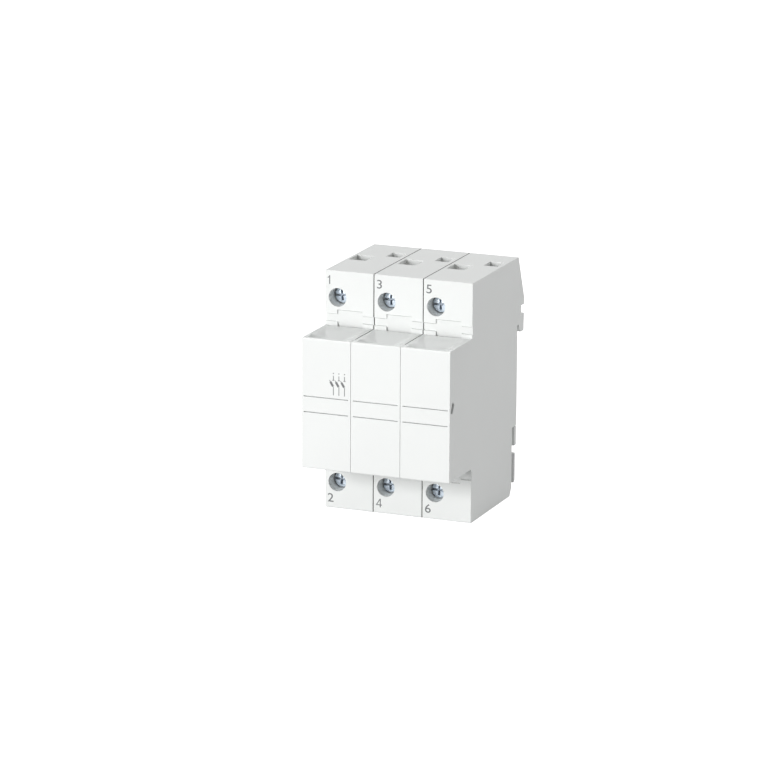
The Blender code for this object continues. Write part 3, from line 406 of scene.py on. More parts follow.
def round_cutter(axis_x, level):
    """A fine cylinder along Y that trues a screw bore of the coarser CAD solid."""
    bm = bmesh.new()
    start = TERMINAL_FRONT - BORE_LEAD
    middle = Matrix.Translation((axis_x, (start + BORE_END) / 2, level))
    bmesh.ops.create_cone(
        bm, cap_ends=True, segments=BORE_SIDES, radius1=BORE_RADIUS, radius2=BORE_RADIUS, depth=BORE_END - start,
        matrix=middle @ Matrix.Rotation(-math.pi / 2, 4, "X"),
    )
    return put("bore", mesh_of(bm, "bore"))


def worked(obj, others, operation="DIFFERENCE"):
    """Cuts other solids out of a copy, or welds them to it, and clears them away."""
    for other in others:
        step = obj.modifiers.new("step", "BOOLEAN")
        step.operation = operation
        step.solver = "EXACT"
        step.object = other
    mesh = applied(obj, obj.name)
    obj.modifiers.clear()
    for other in others:
        bpy.data.objects.remove(other)
    obj.data = merged(mesh)
    return obj


def shallow_band(obj):
    """Brings the stepped band of the terminal fronts nearer to the surface."""
    for vert in obj.data.vertices:
        if meets(vert.co.y, BAND_FLOOR) and BAND_LEVELS[0] < abs(vert.co.z) < BAND_LEVELS[1]:
            vert.co.y = TERMINAL_FRONT + BAND_DEPTH
    return obj


def band_grooves(middle_x, start, end):
    """Fine grooves that draw the outline of the band on the fronts, between two places across a pole."""
    front, back = TERMINAL_FRONT - BEYOND, TERMINAL_FRONT + BAND_DEPTH + BAND_GROOVE_DEPTH
    blocks = []
    for left, right, low in BAND_GROOVES:
        left, right = max(left, start), min(right, end)
        high = low + BAND_GROOVE_WIDTH
        if left < right:
            for bottom, top in ((low, high), (-high, -low)):
                blocks.append(block(
                    "band_groove", (middle_x + left, front, bottom), (middle_x + right, back, top)
                ))
    return blocks


housing_plastic = soil_gaps(moulded_plastic("light_grey_polyamide", HOUSING_COLOUR, roughness=0.46, grain=0.25))
for pole, pole_x in POLES.items():
    bores = [round_cutter(pole_x + SCREW_OFFSET, side * SCREW_LEVEL) for _, side in SIDES]
    tray = worked(shallow_band(merged_copy(f"housing_{pole}")), bores + band_grooves(pole_x, *TRAY_BAND))
    break_edges(tray, HOUSING_EDGE, seam=pole_x + SIDE_SEAM, middle_x=pole_x)
    tray_mesh = as_mesh(tray, f"pole_tray_{pole}")
    finish_piece(f"pole_tray_{pole}", tray_mesh, housing_plastic, "housing", "housing_plastic", f"housing_{pole}")
    cover = merged_copy(f"side_cover_{pole}")
    for vert in cover.data.vertices:
        if meets(vert.co.x - pole_x, COVER_INNER):
            vert.co.x += SEAM_CLOSED
    worked(shallow_band(cover), band_grooves(pole_x, *COVER_BAND))
    break_edges(cover, HOUSING_EDGE, seam=pole_x + COVER_INNER + SEAM_CLOSED, middle_x=pole_x)
    finish_piece(
        f"pole_cover_{pole}", as_mesh(cover, f"pole_cover_{pole}"), housing_plastic, "housing", "housing_plastic",
        f"side_cover_{pole}",
    )

# Entry collars: short walls behind the wire and busbar entries, which lead a wire into its clamp.
# They are moulded on the housings, above and below.
COLLAR_TOP = 0.0403
COLLARS = {  # two outer corners, two corners of the hole, and the lowest level
    "wire_collars": ((-0.0080, -0.0258), (-0.00085, -0.0169), (-0.00764, -0.02528), (-0.00122, -0.01742), 0.0384),
    "busbar_collars": ((0.0019, -0.0166), (0.0076, -0.0094), (0.00232, -0.01618), (0.00733, -0.00982), 0.0390),
}
for name, (low, high, hole_low, hole_high, bottom) in COLLARS.items():
    bm = bmesh.new()
    for pole_x in POLES.values():
        for _, side in SIDES:
            loops = []
            for level in (bottom, COLLAR_TOP):
                for (x0, y0), (x1, y1) in ((low, high), (hole_low, hole_high)):
                    corners = ((x0, y0), (x1, y0), (x1, y1), (x0, y1))
                    loops.append([bm.verts.new((pole_x + x, y, side * level)) for x, y in corners])
            under_outside, under_hole, top_outside, top_hole = loops
            wall_between(bm, under_outside, under_hole)
            wall_between(bm, top_outside, top_hole)
            wall_between(bm, under_outside, top_outside)
            wall_between(bm, under_hole, top_hole)
    bmesh.ops.recalc_face_normals(bm, faces=bm.faces)
    finish_piece(name, mesh_of(bm, name), housing_plastic, "housing", "housing_plastic")

# Rivets: four long steel rivets with low domed heads, sunk in the first cover, hold the poles
# together. They are turned from wire, zinc plated and set at the corners of a rectangle.
RIVET_HEAD_TOP = -0.02655
RIVET_LENGTH = 0.0498
RIVET_PROFILE = [
    (0, 0), (0.0008, -0.00003), (0.0014, -0.00014), (0.0018, -0.00032), (0.0020, -0.00056), (0.0020, -0.0008),
    (0.0010, -0.0008), (0.0010, 0.0002 - RIVET_LENGTH), (0.0008, -RIVET_LENGTH), (0, -RIVET_LENGTH),
]
RIVET_SIDES = 32
RIVET_MIDDLE_DEPTH = -0.0210
RIVET_DEPTH_SPACING = 0.0240
RIVET_HEIGHT_SPACING = 0.0236
TARNISH_SCALE = 420
SCRATCH_SCALE = 3600
SCRATCH_RELIEF = 0.25
SCRATCH_DEPTH = 0.000008
SCRATCH_SHEENS = (-0.06, 0.10)
SPIN_MERGE = 0.0000005


def plated_metal(name, colour, tint, roughness, stretch=(1, 1, 1), metallic=1.0):
    """Plated metal: fine scratches along its drawing direction, and plating of uneven tint."""
    material, tree, shader = new_material(name)
    where = object_place(tree)
    along = add_node(tree, "ShaderNodeMapping", {"Vector": where, "Scale": stretch})
    scratch = noise(tree, along, SCRATCH_SCALE, 3)
    smoother, rougher = SCRATCH_SHEENS
    wear = add_node(tree, "ShaderNodeMapRange", {
        "Value": scratch, "To Min": roughness + smoother, "To Max": roughness + rougher,
    })
    bump = add_node(tree, "ShaderNodeBump", {
        "Strength": SCRATCH_RELIEF, "Distance": SCRATCH_DEPTH, "Height": scratch,
    })
    feed(shader, {
        "Base Color": colour_mix(tree, noise(tree, where, TARNISH_SCALE, 3), rgba(colour), rgba(tint)),
        "Roughness": wear, "Normal": bump, "Metallic": metallic,
    })
    return material


def turned_blank(name, profile, sides, turn=None):
    """A closed profile of (radius, height) spun about Z, then turned to lie another way."""
    bm = bmesh.new()
    verts = [bm.verts.new((radius, 0, height)) for radius, height in profile]
    edges = [bm.edges.new(pair) for pair in zip(verts, verts[1:])]
    bmesh.ops.spin(bm, geom=[*verts, *edges], cent=(0, 0, 0), axis=(0, 0, 1), angle=2 * math.pi, steps=sides)
    bmesh.ops.remove_doubles(bm, verts=bm.verts, dist=SPIN_MERGE)
    bmesh.ops.recalc_face_normals(bm, faces=bm.faces)
    mesh = mesh_of(bm, name)
    if turn:
        mesh.transform(turn)
    return mesh


def new_tree(name, sizes):
    """A node tree with named inputs, and the sockets that its inputs come out of."""
    tree = bpy.data.node_groups.new(name, "GeometryNodeTree")
    tree.interface.new_socket(name="Blank", in_out="INPUT", socket_type="NodeSocketGeometry")
    for size, kind in sizes.items():
        tree.interface.new_socket(name=size, in_out="INPUT", socket_type="NodeSocket" + kind)
    tree.interface.new_socket(name="Finish", in_out="INPUT", socket_type="NodeSocketMaterial")
    tree.interface.new_socket(name="Geometry", in_out="OUTPUT", socket_type="NodeSocketGeometry")
    return tree, tree.nodes.new("NodeGroupInput").outputs


def close_tree(tree, shape, finish):
    """Ends the tree: instances become real and take the finish."""
    real = add_node(tree, "GeometryNodeRealizeInstances", {0: shape})
    coated = add_node(tree, "GeometryNodeSetMaterial", {"Geometry": real, "Material": finish})
    tree.links.new(coated, tree.nodes.new("NodeGroupOutput").inputs[0])


def instances(tree, count, first, step, blank, **turn):
    """A row of a blank along X: how many, where the first is and how far apart."""
    offset = add_node(tree, "ShaderNodeCombineXYZ", {"X": step})
    row = add_node(tree, "GeometryNodeMeshLine", {"Count": count, "Start Location": first, "Offset": offset})
    return add_node(tree, "GeometryNodeInstanceOnPoints", {"Points": row, "Instance": blank, **turn})


def grown(name, tree, blank, values):
    """The plain mesh that the tree makes of a blank with these sizes."""
    obj = put(name, blank)
    modifier = obj.modifiers.new(tree.name, "NODES")
    modifier.node_group = tree
    for item in tree.interface.items_tree:
        if item.in_out == "INPUT" and item.name in values:
            modifier[item.identifier] = values[item.name]
    return as_mesh(obj, name)


rivet_tree, size = new_tree("rivet_rows", {"Height Spacing": "Float", "Depth Spacing": "Float", "Middle": "Vector"})
corners = add_node(rivet_tree, "GeometryNodeMeshGrid", {
    "Size X": size["Height Spacing"], "Size Y": size["Depth Spacing"], "Vertices X": 2, "Vertices Y": 2,
})
upright = add_node(rivet_tree, "GeometryNodeTransform", {
    "Geometry": corners, "Translation": size["Middle"], "Rotation": (0, math.pi / 2, 0),
})
rivets = add_node(rivet_tree, "GeometryNodeInstanceOnPoints", {"Points": upright, "Instance": size["Blank"]})
close_tree(rivet_tree, rivets, size["Finish"])

rivet_steel = plated_metal("zinc_plated_steel", (0.60, 0.63, 0.66), (0.52, 0.54, 0.58), roughness=0.34)
rivet_blank = turned_blank("rivet_blank", RIVET_PROFILE, RIVET_SIDES, Matrix.Rotation(-math.pi / 2, 4, "Y"))
rivet_mesh = grown("rivets", rivet_tree, rivet_blank, {
    "Height Spacing": RIVET_HEIGHT_SPACING, "Depth Spacing": RIVET_DEPTH_SPACING,
    "Middle": (RIVET_HEAD_TOP, RIVET_MIDDLE_DEPTH, 0), "Finish": rivet_steel,
})
finish_piece("rivets", rivet_mesh, rivet_steel, "housing", "steel", *[f"rivet_{n}" for n in range(1, 5)])

# Contacts: sprung jaws, strip, tang and busbar tab, bent from one silver-plated copper strip.
# Shearing leaves their edges slightly rounded, and the plating dulls to a warm grey.
STRIP_EDGE = 0.00009

contact_silver = plated_metal(
    "silver_plate", (0.80, 0.77, 0.71), (0.66, 0.62, 0.55), roughness=0.30, stretch=(1, 0.12, 0.12)
)
for pole in POLES:
    for word, _ in SIDES:
        strip = break_edges(merged_copy(f"contact_{word}_{pole}"), STRIP_EDGE)
        finish_piece(
            f"contact_strip_{word}_{pole}", as_mesh(strip, f"contact_strip_{word}_{pole}"), contact_silver, "housing",
            "silvered_copper", f"contact_{word}_{pole}",
        )

# Box clamps: a folded steel cage whose front wall is the nut. The wire is pressed between the
# ribs rolled into its rear wall and the contact's tang. The steel is plated and yellow passivated.
CAGE_EDGE = 0.00012
CAGE_REAR_FACE = -0.0171
CAGE_RIBS = 5
RIB_SPACING = 0.0013
RIB_RADIUS = 0.00032
RIB_LENGTH = 0.0044
RIB_SIDES = 12

clamp_tree, size = new_tree("clamp_ribs", {
    "Count": "Int", "Spacing": "Float", "Radius": "Float", "Length": "Float", "Lowest": "Vector",
})
rise = add_node(clamp_tree, "ShaderNodeCombineXYZ", {"Z": size["Spacing"]})
levels = add_node(clamp_tree, "GeometryNodeMeshLine", {
    "Count": size["Count"], "Start Location": size["Lowest"], "Offset": rise,
})
bar = add_node(clamp_tree, "GeometryNodeMeshCylinder", {
    "Vertices": RIB_SIDES, "Radius": size["Radius"], "Depth": size["Length"],
})
across = add_node(clamp_tree, "GeometryNodeTransform", {"Geometry": bar, "Rotation": (0, math.pi / 2, 0)})
ribs = add_node(clamp_tree, "GeometryNodeInstanceOnPoints", {"Points": levels, "Instance": across})
ribbed = add_node(clamp_tree, "GeometryNodeJoinGeometry", {"Geometry": [size["Blank"], ribs]})
close_tree(clamp_tree, ribbed, size["Finish"])

clamp_steel = plated_metal("passivated_steel", (0.63, 0.60, 0.50), (0.55, 0.53, 0.47), roughness=0.33)
for pole, pole_x in POLES.items():
    for word, side in SIDES:
        cage = break_edges(merged_copy(f"clamp_cage_{word}_{pole}"), CAGE_EDGE)
        lowest = side * SCREW_LEVEL - (CAGE_RIBS - 1) / 2 * RIB_SPACING
        clamp_mesh = grown("clamp", clamp_tree, as_mesh(cage, "cage_blank"), {
            "Count": CAGE_RIBS, "Spacing": RIB_SPACING, "Radius": RIB_RADIUS, "Length": RIB_LENGTH,
            "Lowest": (pole_x + SCREW_OFFSET, CAGE_REAR_FACE, lowest), "Finish": clamp_steel,
        })
        finish_piece(
            f"box_clamp_{word}_{pole}", clamp_mesh, clamp_steel, f"clamp_cage_{word}_{pole}", "steel",
            f"clamp_cage_{word}_{pole}",
        )

# Terminal screws: turned steel with a low domed head, a slot crossed by a shorter one, and a
# rolled thread. They are zinc plated to a bluish silver, with painted shade deep in the slots. Each
# one stands within a few degrees of upright, as the photograph shows.
HEAD_FRONT = -0.0389
SCREW_PROFILE = [
    (0, 0), (0.0008, -0.00001), (0.0016, -0.00007), (0.0022, -0.00017), (0.00258, -0.00032), (0.00276, -0.0005),
    (0.0028, -0.0007), (0.0028, -0.0017), (0.0027, -0.0018), (0.00185, -0.0018), (0.0018, -0.0119),
    (0.0014, -0.0125), (0, -0.0125),
]
SCREW_SIDES = 48
DRIVE_WIDTH = 0.00085
DRIVE_DEPTH = 0.0014
SLOT_LENGTH = 0.0062
CROSS_LENGTH = 0.0038
# Painted shade in the slots: the depths behind the head's face where the darkening starts and where it is full, and
# its darkest share.
SLOT_SHADE_DEPTHS = (0.00060, 0.00095)
PAINTED_SLOT_SHADE = 0.40
THREAD_START = -0.0122
THREAD_LENGTH = 0.0096
THREAD_PITCH = 0.0007
THREAD_DEPTH = 0.00026
THREAD_ROOT = 0.00178
THREAD_STEPS = 24
SCREW_TURNS = {
    "upper_1": 4, "upper_2": 0, "upper_3": 2, "lower_1": -5, "lower_2": 3, "lower_3": -2,
}

screw_tree, size = new_tree("terminal_screw", {
    "Slot Length": "Float", "Drive Width": "Float", "Drive Depth": "Float", "Cross Length": "Float",
    "Thread Root": "Float", "Thread Turns": "Float", "Thread Length": "Float", "Thread Depth": "Float",
    "Thread Start": "Vector", "Turn": "Vector", "Place": "Vector",
})
drive_height = add_node(screw_tree, "ShaderNodeMath", {0: size["Drive Depth"], 1: 2.0}, operation="MULTIPLY")
slot_size = add_node(screw_tree, "ShaderNodeCombineXYZ", {
    "X": size["Slot Length"], "Y": size["Drive Width"], "Z": drive_height,
})
cross_size = add_node(screw_tree, "ShaderNodeCombineXYZ", {
    "X": size["Drive Width"], "Y": size["Cross Length"], "Z": drive_height,
})
slot_block = add_node(screw_tree, "GeometryNodeMeshCube", {"Size": slot_size})
cross_block = add_node(screw_tree, "GeometryNodeMeshCube", {"Size": cross_size})
slotted = add_node(screw_tree, "GeometryNodeMeshBoolean", {
    "Mesh 1": size["Blank"], "Mesh 2": [slot_block, cross_block],
}, operation="DIFFERENCE", solver="EXACT")
helix = add_node(screw_tree, "GeometryNodeCurveSpiral", {
    "Resolution": THREAD_STEPS, "Rotations": size["Thread Turns"], "Start Radius": size["Thread Root"],
    "End Radius": size["Thread Root"], "Height": size["Thread Length"],
})
crest = add_node(screw_tree, "GeometryNodeCurvePrimitiveCircle", {"Resolution": 4, "Radius": size["Thread Depth"]})
thread = add_node(screw_tree, "GeometryNodeCurveToMesh", {"Curve": helix, "Profile Curve": crest, "Fill Caps": True})
thread_placed = add_node(screw_tree, "GeometryNodeTransform", {
    "Geometry": thread, "Translation": size["Thread Start"],
})
whole = add_node(screw_tree, "GeometryNodeJoinGeometry", {"Geometry": [slotted, thread_placed]})
turned = add_node(screw_tree, "GeometryNodeTransform", {"Geometry": whole, "Rotation": size["Turn"]})
driven = add_node(screw_tree, "GeometryNodeTransform", {
    "Geometry": turned, "Translation": size["Place"], "Rotation": (math.pi / 2, 0, 0),
})
close_tree(screw_tree, driven, size["Finish"])

screw_zinc = plated_metal("bluish_zinc", (0.80, 0.87, 0.95), (0.70, 0.79, 0.90), roughness=0.30, metallic=0.62)
zinc_tree = screw_zinc.node_tree
lit_depth, shaded_depth = SLOT_SHADE_DEPTHS
# Painted shade: the zinc's colour darkens from 0.6 to 0.95 mm behind the head's face, so the slots look shaded.
slot_shade = add_node(zinc_tree, "ShaderNodeMapRange", {
    "Value": axes(zinc_tree, object_place(zinc_tree))["Y"], "From Min": HEAD_FRONT + lit_depth,
    "From Max": HEAD_FRONT + shaded_depth, "To Min": 1.0, "To Max": PAINTED_SLOT_SHADE,
})
recolour(screw_zinc, 1.0, slot_shade, blend_type="MULTIPLY")
screw_blank = turned_blank("screw_blank", SCREW_PROFILE, SCREW_SIDES)
for pole, pole_x in POLES.items():
    for word, side in SIDES:
        screw_mesh = grown("screw", screw_tree, screw_blank, {
            "Slot Length": SLOT_LENGTH, "Drive Width": DRIVE_WIDTH, "Drive Depth": DRIVE_DEPTH,
            "Cross Length": CROSS_LENGTH, "Thread Root": THREAD_ROOT, "Thread Turns": THREAD_LENGTH / THREAD_PITCH,
            "Thread Length": THREAD_LENGTH, "Thread Depth": THREAD_DEPTH, "Thread Start": (0, 0, THREAD_START),
            "Turn": (0, 0, math.radians(SCREW_TURNS[f"{word}_{pole}"])),
            "Place": (pole_x + SCREW_OFFSET, HEAD_FRONT, side * SCREW_LEVEL), "Finish": screw_zinc,
        })
        finish_piece(
            f"clamp_screw_{word}_{pole}", screw_mesh, screw_zinc, f"terminal_screw_{word}_{pole}", "zinc",
            f"terminal_screw_{word}_{pole}",
        )

# Fuse links: a glazed ceramic tube, necked at both ends, with drawn and nickel-plated brass caps
# that are crimped on by a ring of dimples. One link stands in each drawer's cradle.
FUSE_DEPTH = -0.05295
FUSE_MIDDLE = -0.0006
TUBE_SIDES = 64
TUBE_PROFILE = [
    (0, 0.0183), (0.0043, 0.0183), (0.00445, 0.01815), (0.00445, 0.0087), (0.00470, 0.0087), (0.00485, 0.00855),
]
TUBE_PROFILE += [(radius, -height) for radius, height in reversed(TUBE_PROFILE)]
CAP_MOUTH = 0.0090
CAP_SIDES = 96
CAP_PROFILE = [
    (0, 0.0100), (0.0045, 0.0100), (0.00485, 0.00992), (0.00506, 0.00974), (0.00515, 0.0095), (0.00515, 0.0040),
    *[(0.00515, 0.0034 - 0.0002 * step) for step in range(13)], (0.00515, 0.0001), (0.00508, 0), (0.00475, 0),
    *[(0.00475, 0.0010 + 0.0002 * step) for step in range(13)], (0.00475, 0.0096), (0, 0.0096),
]
DIMPLES = 12.0
DIMPLE_DEPTH = 0.00014
DIMPLE_LEVEL = 0.0022
DIMPLE_REACH = 0.0006
DIMPLE_GAP = 0.35
SPECK_SCALE = 2200
SPECK_RANGE = (0.68, 0.80)
SPECK_SHADE = 0.6
GLAZE_ROUGHNESS = 0.28
GLAZE_COAT = 0.5

cap_tree, size = new_tree("crimped_caps", {
    "Dimples": "Float", "Dimple Depth": "Float", "Dimple Level": "Float", "Dimple Reach": "Float",
    "Poles": "Int", "Pitch": "Float", "First Upper": "Vector", "First Lower": "Vector",
})
place = axes(cap_tree, add_node(cap_tree, "GeometryNodeInputPosition", {}))
angle = add_node(cap_tree, "ShaderNodeMath", {0: place["Y"], 1: place["X"]}, operation="ARCTAN2")
many = add_node(cap_tree, "ShaderNodeMath", {0: angle, 1: size["Dimples"]}, operation="MULTIPLY")
wave = add_node(cap_tree, "ShaderNodeMath", {0: many}, operation="COSINE")
around = add_node(cap_tree, "ShaderNodeMapRange", {"Value": wave, "From Min": DIMPLE_GAP, "From Max": 1.0})
off_level = add_node(cap_tree, "ShaderNodeMath", {0: place["Z"], 1: size["Dimple Level"]}, operation="SUBTRACT")
distance = add_node(cap_tree, "ShaderNodeMath", {0: off_level}, operation="ABSOLUTE")
beside = add_node(cap_tree, "ShaderNodeMapRange", {
    "Value": distance, "From Min": size["Dimple Reach"], "From Max": 0.0,
}, interpolation_type="SMOOTHSTEP")
press = add_node(cap_tree, "ShaderNodeMath", {0: around, 1: beside}, operation="MULTIPLY")
depth = add_node(cap_tree, "ShaderNodeMath", {0: press, 1: size["Dimple Depth"]}, operation="MULTIPLY")
flat = add_node(cap_tree, "ShaderNodeCombineXYZ", {"X": place["X"], "Y": place["Y"]})
outward = add_node(cap_tree, "ShaderNodeVectorMath", {0: flat}, operation="NORMALIZE")
inward = add_node(cap_tree, "ShaderNodeMath", {0: depth, 1: -1.0}, operation="MULTIPLY")
push = add_node(cap_tree, "ShaderNodeVectorMath", {0: outward, "Scale": inward}, operation="SCALE")
crimped = add_node(cap_tree, "GeometryNodeSetPosition", {"Geometry": size["Blank"], "Offset": push})
ends = [
    instances(cap_tree, size["Poles"], size[first], size["Pitch"], crimped, Rotation=(turned_over, 0, 0))
    for first, turned_over in (("First Upper", 0), ("First Lower", math.pi))
]
both = add_node(cap_tree, "GeometryNodeJoinGeometry", {"Geometry": ends})
close_tree(cap_tree, both, size["Finish"])

cap_nickel = plated_metal(
    "nickel_plate", (0.74, 0.72, 0.67), (0.66, 0.64, 0.58), roughness=0.20, stretch=(1, 1, 0.1)
)
cap_mesh = grown("fuse_caps", cap_tree, turned_blank("cap_blank", CAP_PROFILE, CAP_SIDES), {
    "Dimples": DIMPLES, "Dimple Depth": DIMPLE_DEPTH, "Dimple Level": DIMPLE_LEVEL, "Dimple Reach": DIMPLE_REACH,
    "Poles": len(POLES), "Pitch": POLE_PITCH, "First Upper": (POLES[1], FUSE_DEPTH, FUSE_MIDDLE + CAP_MOUTH),
    "First Lower": (POLES[1], FUSE_DEPTH, FUSE_MIDDLE - CAP_MOUTH), "Finish": cap_nickel,
})
finish_piece(
    "fuse_caps", cap_mesh, cap_nickel, "fuse_drawers", "nickel",
    *[f"fuse_cap_{word}_{pole}" for word, _ in SIDES for pole in POLES],
)


def glazed_ceramic(name, colour):
    """Glazed steatite: a smooth coat over an off-white body with small brown specks."""
    material, tree, shader = new_material(name)
    fewest, most = SPECK_RANGE
    specks = add_node(tree, "ShaderNodeMapRange", {
        "Value": noise(tree, object_place(tree), SPECK_SCALE, 2), "From Min": fewest, "From Max": most,
    })
    feed(shader, {
        "Base Color": colour_mix(tree, specks, rgba(colour), rgba(colour, SPECK_SHADE)),
        "Roughness": GLAZE_ROUGHNESS, "Coat Weight": GLAZE_COAT,
    })
    return material


tube_tree, size = new_tree("row_of_tubes", {"Poles": "Int", "Pitch": "Float", "First": "Vector"})
tubes = instances(tube_tree, size["Poles"], size["First"], size["Pitch"], size["Blank"])
close_tree(tube_tree, tubes, size["Finish"])

ceramic = glazed_ceramic("glazed_steatite", (0.82, 0.79, 0.72))
tube_mesh = grown("fuse_tubes", tube_tree, turned_blank("tube_blank", TUBE_PROFILE, TUBE_SIDES), {
    "Poles": len(POLES), "Pitch": POLE_PITCH, "First": (POLES[1], FUSE_DEPTH, FUSE_MIDDLE), "Finish": ceramic,
})
finish_piece(
    "fuse_tubes", tube_mesh, ceramic, "fuse_drawers", "ceramic", *[f"fuse_tube_{pole}" for pole in POLES]
)

# Fuse drawers: smooth white front plates, moulded in one with the finger scoop and the cradle.
# All three turn on trunnions in the housings, so they ride on one body.
DRAWER_COLOUR = (0.830, 0.845, 0.835)
DRAWER_EDGE = 0.00008
DRAWER_FRONT = -0.06325
DRAWER_BACK = -0.05935
HINGE = (-0.05965, -0.0209)
HINGE_DISC = 0.0017
DISC_START = -0.0016
DISC_STEPS = 16
CORNER = 0.0004
CORNER_INSET = 0.000117
FLANK_SKIN = 0.00046
GAP_TAKEN = 0.00007
CHEEK_GAP_TAKEN = 0.00026
FLOOR_EDGES = ((-0.00745, -0.00018), (0.00705, 0.00025))
SCOOP_START = -0.0619
SCOOP_END = -0.0440
SCOOP_DEPTH = 0.0047
SCOOP_CURVE = 1.9
FILLET_SPAN = (-0.00759, 0.00728)
FILLET_STEEP = 0.16
FILLET_WIDE = 0.42
FILLET_REACH = (0.00025, 0.0004, 2.6)
FILLET_RUN = (-0.015, 0.985)
FILLET_STATIONS = 28
FILLET_PARTS = 12
FILLET_SUNK = 0.00001
FILLET_ROOT = 0.00004
FILLET_FOOT = 0.0003
TIE_SLOT_MIDDLE = (-0.06075, 0.0027)
TIE_SLOT_SIZE = (0.0020, 0.0036)
TIE_SLANT = math.radians(30)
TIE_SLOT_REACH = 0.010
GROOVE_LEVELS = (0.00245, -0.00295)
GROOVE_WIDTH = 0.00030
GROOVE_DEPTH = 0.00105
GROOVE_LENGTH = 0.0161


def front_groove(middle_x, level):
    """A thin block that deepens one of the two grooves across a drawer front."""
    thin_block = Vector((GROOVE_LENGTH, 2 * GROOVE_DEPTH, GROOVE_WIDTH))
    place = Matrix.LocRotScale(Vector((middle_x, DRAWER_FRONT, level)), None, thin_block)
    bm = bmesh.new()
    bmesh.ops.create_cube(bm, size=1, matrix=place)
    return put("front_groove", mesh_of(bm, "front_groove"))


def flank(middle_x, side, proud, behind):
    """A skin for one side of a drawer's front, which squares its rounded edges.

    It stands proud of the side, and reaches back, by what it takes of the gaps there.
    """
    radius = HINGE_DISC + behind
    back = DRAWER_BACK + behind
    low = math.asin(DISC_START / radius)
    high = math.acos((back - HINGE[0]) / radius)
    angles = [low + (high - low) * step / DISC_STEPS for step in range(DISC_STEPS + 1)]
    outline = [
        (DRAWER_FRONT, CORNER - HALF_FRONT), (DRAWER_FRONT + CORNER_INSET, CORNER_INSET - HALF_FRONT),
        (DRAWER_FRONT + CORNER, -HALF_FRONT),
        *[(HINGE[0] + radius * math.cos(angle), HINGE[1] + radius * math.sin(angle)) for angle in angles],
        (back, HALF_FRONT), (DRAWER_FRONT + CORNER, HALF_FRONT),
        (DRAWER_FRONT + CORNER_INSET, HALF_FRONT - CORNER_INSET), (DRAWER_FRONT, HALF_FRONT - CORNER),
    ]
    span = sorted(middle_x + side * reach for reach in (HALF_POLE - FLANK_SKIN, HALF_POLE + proud))
    return drawn_along_x("flank", outline, *span)


def tie_slot(middle_x):
    """The slanted slot that the tie strip passes through, as a cutter across one drawer."""
    thick, tall = TIE_SLOT_SIZE
    along = Vector((math.sin(TIE_SLANT), math.cos(TIE_SLANT))) * tall / 2
    across = Vector((math.cos(TIE_SLANT), -math.sin(TIE_SLANT))) * thick / 2
    middle = Vector(TIE_SLOT_MIDDLE)
    corners = [middle + along + across, middle + along - across, middle - along - across, middle - along + across]
    return drawn_along_x("tie_slot", corners, middle_x - TIE_SLOT_REACH, middle_x + TIE_SLOT_REACH)


def eased(share):
    """A share from 0 to 1 that leaves and arrives level."""
    return share * share * (3 - 2 * share)


def scoop_fillet(middle_x, wall_x, inward):
    """The blend between a side wall of the finger scoop and its floor: steep in front, then wide."""
    first, last = FILLET_RUN
    narrow, spare, spread = FILLET_REACH
    rings = []
    for station in range(FILLET_STATIONS + 1):
        run = first + (last - first) * station / FILLET_STATIONS
        y = SCOOP_START + (SCOOP_END - SCOOP_START) * run
        drop = SCOOP_DEPTH * (1 - max(run, 0)) ** SCOOP_CURVE
        growth = eased(min(max((run - FILLET_STEEP) / (FILLET_WIDE - FILLET_STEEP), 0), 1))
        reach = narrow + (spare + spread * drop) * growth
        shares = [part / FILLET_PARTS for part in range(FILLET_PARTS + 1)]
        section = [
            (-FILLET_ROOT, -FILLET_FOOT), (-FILLET_ROOT, drop),
            *[(reach * share, drop * (1 - eased(share))) for share in shares], (reach, -FILLET_FOOT),
        ]
        bed = HALF_FRONT - FILLET_SUNK - drop
        rings.append([(middle_x + wall_x + inward * x, y, bed + z) for x, z in section])
    return solid_through("scoop_fillet", rings)


def one_mesh(name, meshes):
    """Several closed meshes joined to one."""
    bm = bmesh.new()
    for mesh in meshes:
        bm.from_mesh(mesh)
    return mesh_of(bm, name)


drawer_plastic = moulded_plastic("white_polyamide", DRAWER_COLOUR, roughness=0.40, grain=0.15)
for pole, pole_x in POLES.items():
    drawer = merged_copy(f"fuse_drawer_{pole}")
    for vert in drawer.data.vertices:
        for edge_x, shift in FLOOR_EDGES:
            if meets(vert.co.x - pole_x, edge_x):
                vert.co.x += shift
    worked(drawer, [
        flank(pole_x, -1, GAP_TAKEN if pole > 1 else 0, 0),
        flank(pole_x, 1, GAP_TAKEN if pole < 3 else 0, CHEEK_GAP_TAKEN if pole == 3 else 0),
    ], "UNION")
    worked(drawer, [tie_slot(pole_x), *[front_groove(pole_x, level) for level in GROOVE_LEVELS]])
    fillets = [scoop_fillet(pole_x, wall_x, inward) for wall_x, inward in zip(FILLET_SPAN, (1, -1))]
    drawer_mesh = one_mesh(f"drawer_{pole}", [as_mesh(break_edges(drawer, DRAWER_EDGE), "drawer"), *fillets])
    finish_piece(
        f"drawer_{pole}", drawer_mesh, drawer_plastic, "fuse_drawers", "drawer_plastic", f"fuse_drawer_{pole}"
    )

# Tie strip: a flat strip of plated spring steel, pushed through the slanted slots of the three
# drawers so that they open together. It is sheared from coil.
TIE_EDGE = 0.00005

tie_steel = plated_metal(
    "bright_spring_steel", (0.56, 0.58, 0.60), (0.48, 0.49, 0.51), roughness=0.30, stretch=(0.1, 1, 1)
)
tie_mesh = as_mesh(break_edges(merged_copy("tie_bar"), TIE_EDGE), "tie_strip")
finish_piece("tie_strip", tie_mesh, tie_steel, "fuse_drawers", "steel", "tie_bar")

